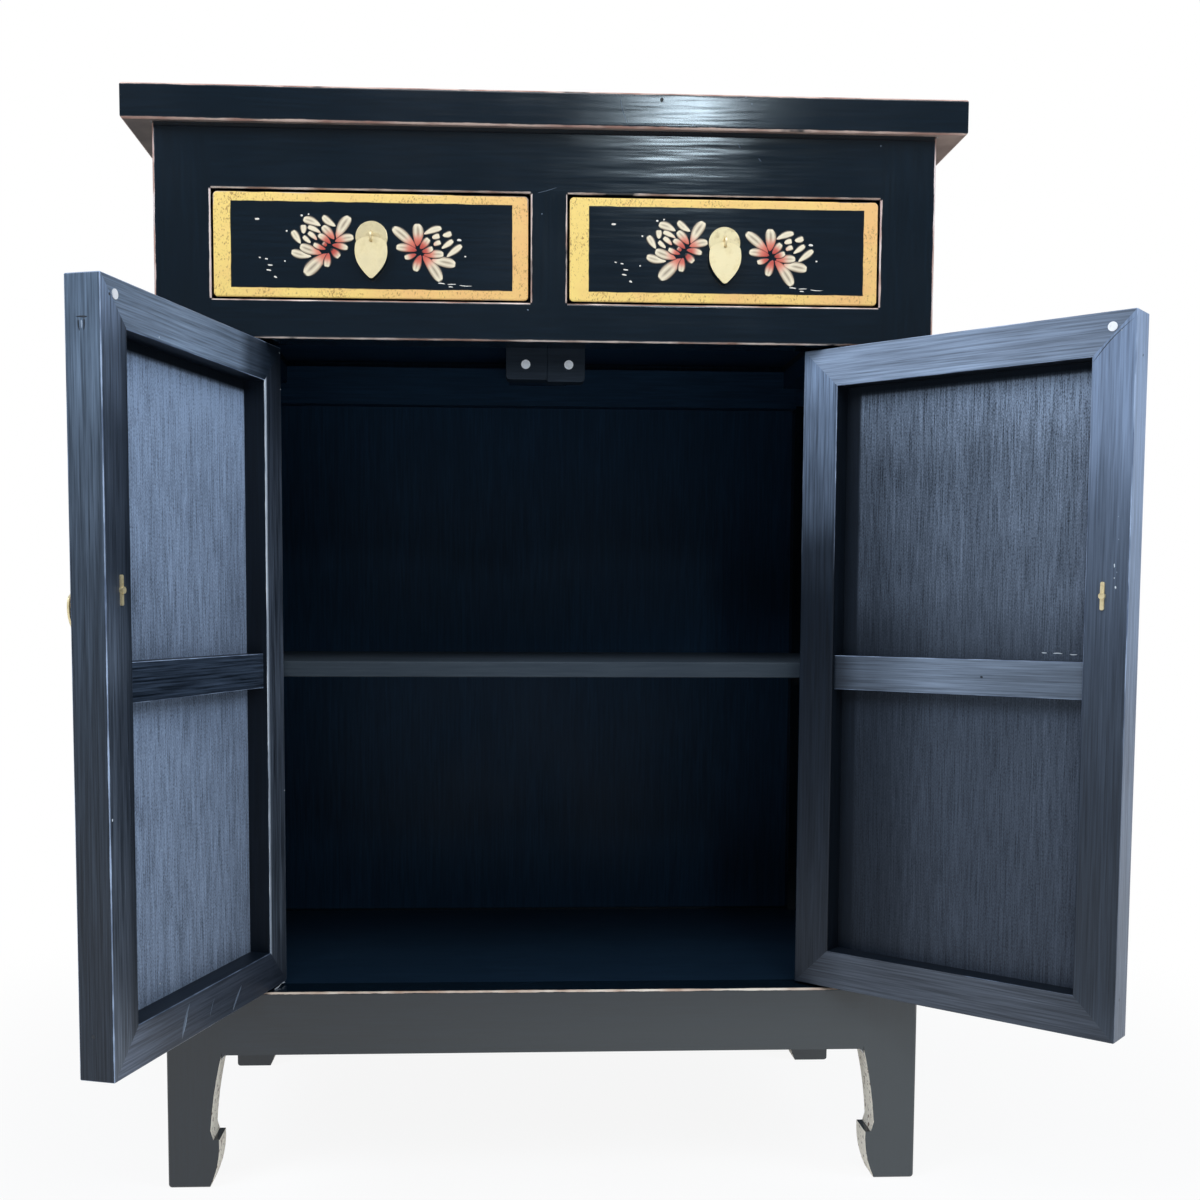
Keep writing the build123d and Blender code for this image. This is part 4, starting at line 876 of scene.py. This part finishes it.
def paintFlower(drawer, flower):
    heartX, heartZ = flowers["hearts"][flower]
    rows = sorted(flowers[flower], key=lambda row: -math.hypot(row[0] - heartX, row[1] - heartZ))
    rim = petals["rimWidth"]
    x, z, up, s, t = strokeTubes([(*row[:4], petals["width"] * row[4] + 2 * rim) for row in rows])
    rank = np.arange(len(rows))[:, None, None]
    near = np.hypot(x - heartX, z - heartZ)
    size = np.array([row[4] for row in rows])[:, None, None] / 10
    length = np.array([math.hypot(row[0] - row[2], row[1] - row[3]) for row in rows])[:, None, None]
    edge = size / (size + petals["rimShare"] * rim)  # share of the half width inside the dark outline
    tipEdge = 1 - rim / length
    off = np.abs(s)
    grey = np.exp(-(s / petals["greyHalf"]) ** 2) * smooth(t, *petals["greyRoot"]) * smooth(t, *petals["greyTip"])
    layers = [
        ("shade", smooth(off, *petals["shadeAcross"]) * smooth(t, *petals["shadeAlong"])),
        ("grey", grey * smooth(size, *petals["greySize"])),
        ("salmon", smooth(near, *petals["salmonNear"]) * smooth(t, *petals["salmonAlong"])),
        ("red", smooth(near, *petals["redNear"])),
    ]
    colours = np.zeros(x.shape + (3,)) + np.array(linear(petals["cream"])[:3])
    for name, share in layers:
        colour, strength = petals[name]
        colours = blendColour(colours, colour, strength * share)
    inside, outside = petals["rimAcross"]
    tipRim = smooth(t, tipEdge + petals["rimAlong"], tipEdge)
    sideRim = smooth(off, edge + inside, edge + outside)
    colours = blendColour(colours, petals["rim"], np.maximum(sideRim, tipRim))
    colours = blendColour(colours, petals["rim"], smooth(near, *petals["heartNear"]))
    pullX, pullZ = pullPlace(drawer)
    y = frontY - (up * petals["height"] + petals["lift"] + petals["step"] * rank) / 1000
    name = drawer + "_drawer_" + flower + "_flower"
    strokeMesh(name, drawer + "_drawer", pullX + x / 1000, y, pullZ + z / 1000, colours)


mark = {"around": 8, "along": 8, "height": 0.05, "lift": 0.02}  # steps round and along, and mm that it stands up


def markMesh(name, body, rows, put, height=mark["height"]):
    # rows of (u, v, u, v, width, colour); put(u, v, up) gives the three coordinates
    x, z, up = strokeTubes([row[:5] for row in rows], mark["around"], mark["along"])[:3]
    colours = np.zeros(x.shape + (3,)) + np.array([linear(row[5])[:3] for row in rows])[:, None, None, :]
    strokeMesh(name, body, *put(x, z, up * height + mark["lift"]), colours)


# specks where the lacquer has come off the drawer fronts: ends in mm from the pull, and width
speckLook = {"colour": "#efe6d6", "height": 0.06}
drawerSpecks = [
    (-108.7, 15.1, -104.1, 15.3, 1.9), (-105.4, -19.7, -103.2, -20.4, 1.2), (-99.8, -21.2, -96.6, -21.6, 1.3),
    (-97.2, -26.6, -92.2, -27, 1.3), (-98.4, -31.2, -93.6, -32, 1.4), (-91.4, -37.2, -88.4, -38.6, 1.7),
    (-66.2, 19.1, -63.8, 19.2, 1.9), (-59.4, 20.2, -57.8, 20.3, 1.6), (-80, 4.6, -78.2, 4.7, 1.7),
    (-81.8, -23, -80.2, -23.1, 1.5), (80, -1.2, 84.6, -1.6, 2.2), (87, -16.1, 89, -16.4, 1.6),
    (62, -41.3, 69, -42, 1.1), (71, -42.4, 79.5, -42.2, 0.8), (82, -42.9, 95, -43.4, 0.7),
    (72, -44.6, 76.5, -44.9, 1),
]
for drawer in ("left", "right"):
    for flower in ("left", "right"):
        paintFlower(drawer, flower)
    pullX, pullZ = pullPlace(drawer)
    markMesh(drawer + "_drawer_specks", drawer + "_drawer", [(*row, speckLook["colour"]) for row in drawerSpecks],
             lambda u, v, up: (pullX + u / 1000, frontY - up / 1000, pullZ + v / 1000), speckLook["height"])
print("flowers painted")


# Small marks of use: each a thin smear from one point to another, with its width, in mm. On a door's inner face a
# row starts with how far that face is sunk, and the points are (from the hinge edge, height); on its free edge
# they are (from the inner face, height). On the front a row starts with how far that face stands back, and the
# points are (from the middle line, height).
chip, filler, scratch, smear, faint, shadow = "#d9e0e4", "#1b242e", "#93a1b0", "#606c7a", "#4c5967", "#0a0e12"
doorMarks = {
    "left": {
        "inner": [
            (0, 300.3, 805.6, 301.4, 803.4, 2.4, filler), (0, 228, 786, 229.2, 785.8, 1.5, chip),
            (0, 3.4, 814, 4.4, 813.6, 1.6, chip), (0, 2, 779.8, 2, 778.6, 1.7, chip),
            (0, 2, 389, 2, 387.6, 1.8, chip), (0, 310, 405, 310, 402.6, 1.5, chip),
            (0, 209.2, 200.4, 194.7, 228.5, 3.4, smear), (0, 208, 203.4, 199, 220.5, 1.2, scratch),
            (0, 116.3, 199.1, 97.9, 218.5, 2.8, smear), (0, 160, 206, 151, 221, 1.2, faint),
            (0, 29, 195.4, 12, 197.4, 1.6, chip), (0, 12, 197, 4, 196.2, 1.3, chip),
            (21.5, 242.4, 719.1, 243.6, 719.1, 1.5, chip), (21.5, 206, 247, 207.2, 246.6, 1.5, chip)],
        "free": [
            (10.9, 785.6, 21.2, 786.2, 1.5, filler), (14, 785, 14.4, 775.6, 1.5, filler),
            (18.8, 784.6, 17.8, 775.2, 1.4, filler), (16.4, 783.6, 16.2, 777, 1.5, scratch),
            (16.6, 233.9, 19.6, 232.7, 3.6, filler)],
    },
    "right": {
        "inner": [
            (0, 300.9, 608.4, 301.2, 604.8, 0.9, chip), (0, 303.4, 601.4, 303, 600.6, 0.8, scratch),
            (0, 301.2, 596.6, 301.4, 595.6, 0.9, chip), (0, 302.3, 589.4, 302.9, 587, 1.4, chip),
            (0, 303.8, 629, 303.9, 628.2, 0.8, scratch), (0, 303, 648, 303, 647.2, 0.8, scratch),
            (0, 300.2, 802.6, 301.6, 801.6, 1.5, scratch), (0, 277.6, 777.4, 311.6, 811.6, 0.7, shadow),
            (4.5, 184, 508.8, 186.6, 508, 2.2, filler), (21.5, 233, 531.2, 238, 531, 0.9, chip),
            (21.5, 243, 530.6, 252, 530.6, 0.9, chip), (21.5, 258, 530.3, 264.8, 530.2, 0.9, chip)],
        "free": [
            (16.2, 783.1, 17.8, 781.9, 2.6, filler), (10, 234.2, 11.6, 233, 2.6, filler)],
    },
}
frontMarks = [
    (-11, 102.9, 1043.8, 106.5, 1043, 4.2, shadow), (-11, 65.4, 1045.2, 73.1, 1019.9, 0.5, faint),
    (-11, 189.2, 1041.5, 190, 1041.3, 1, faint), (-11, 133.8, 1021.2, 134.6, 1021, 1, faint),
    (-11, 183.4, 1047.7, 184.2, 1047.7, 1, scratch), (0, 178.6, 1008.6, 181, 1004.2, 0.7, faint),
    (0, 198.6, 995.6, 201.4, 992.2, 0.6, faint), (0, 315.2, 1009.1, 316.2, 1009.1, 1.1, scratch),
    (0, -7.2, 940.3, -6.4, 940.3, 1, scratch), (0, -11.5, 959.5, 8.3, 965.4, 0.5, faint),
    (0, -20.4, 851.4, -19.2, 850.8, 1, scratch),
]

for side, faces in doorMarks.items():
    sign = 1 if side == "right" else -1
    degrees, (hx, hy, hz) = doorTurns[side]
    turnCos, turnSin = math.cos(math.radians(-degrees)), math.sin(math.radians(-degrees))

    def opened(x, y):
        # from the closed door's place, in mm from the middle line and the front, to the open door's
        dx, dy = middleX + x / 1000 - hx, frontY + y / 1000 - hy
        return hx + dx * turnCos - dy * turnSin, hy + dx * turnSin + dy * turnCos

    def onInner(u, v, up):
        sunk = np.array([row[0] for row in faces["inner"]])[:, None, None]
        return *opened(sign * (door["width"] + door["gap"] - u), door["thickness"] - sunk + up), v / 1000

    def onFree(u, v, up):
        return *opened(sign * (door["gap"] - up), door["thickness"] - u), v / 1000

    markMesh(side + "_door_inner_marks", side + "_door", [row[1:] for row in faces["inner"]], onInner)
    markMesh(side + "_door_edge_marks", side + "_door", faces["free"], onFree)

forward = np.array([row[0] for row in frontMarks])[:, None, None]
markMesh("front_marks", "cabinet", [row[1:] for row in frontMarks],
         lambda u, v, up: (middleX + u / 1000, frontY + (forward - up) / 1000, v / 1000))
print("marks made")


bpy.context.scene.view_settings.view_transform = "Standard"
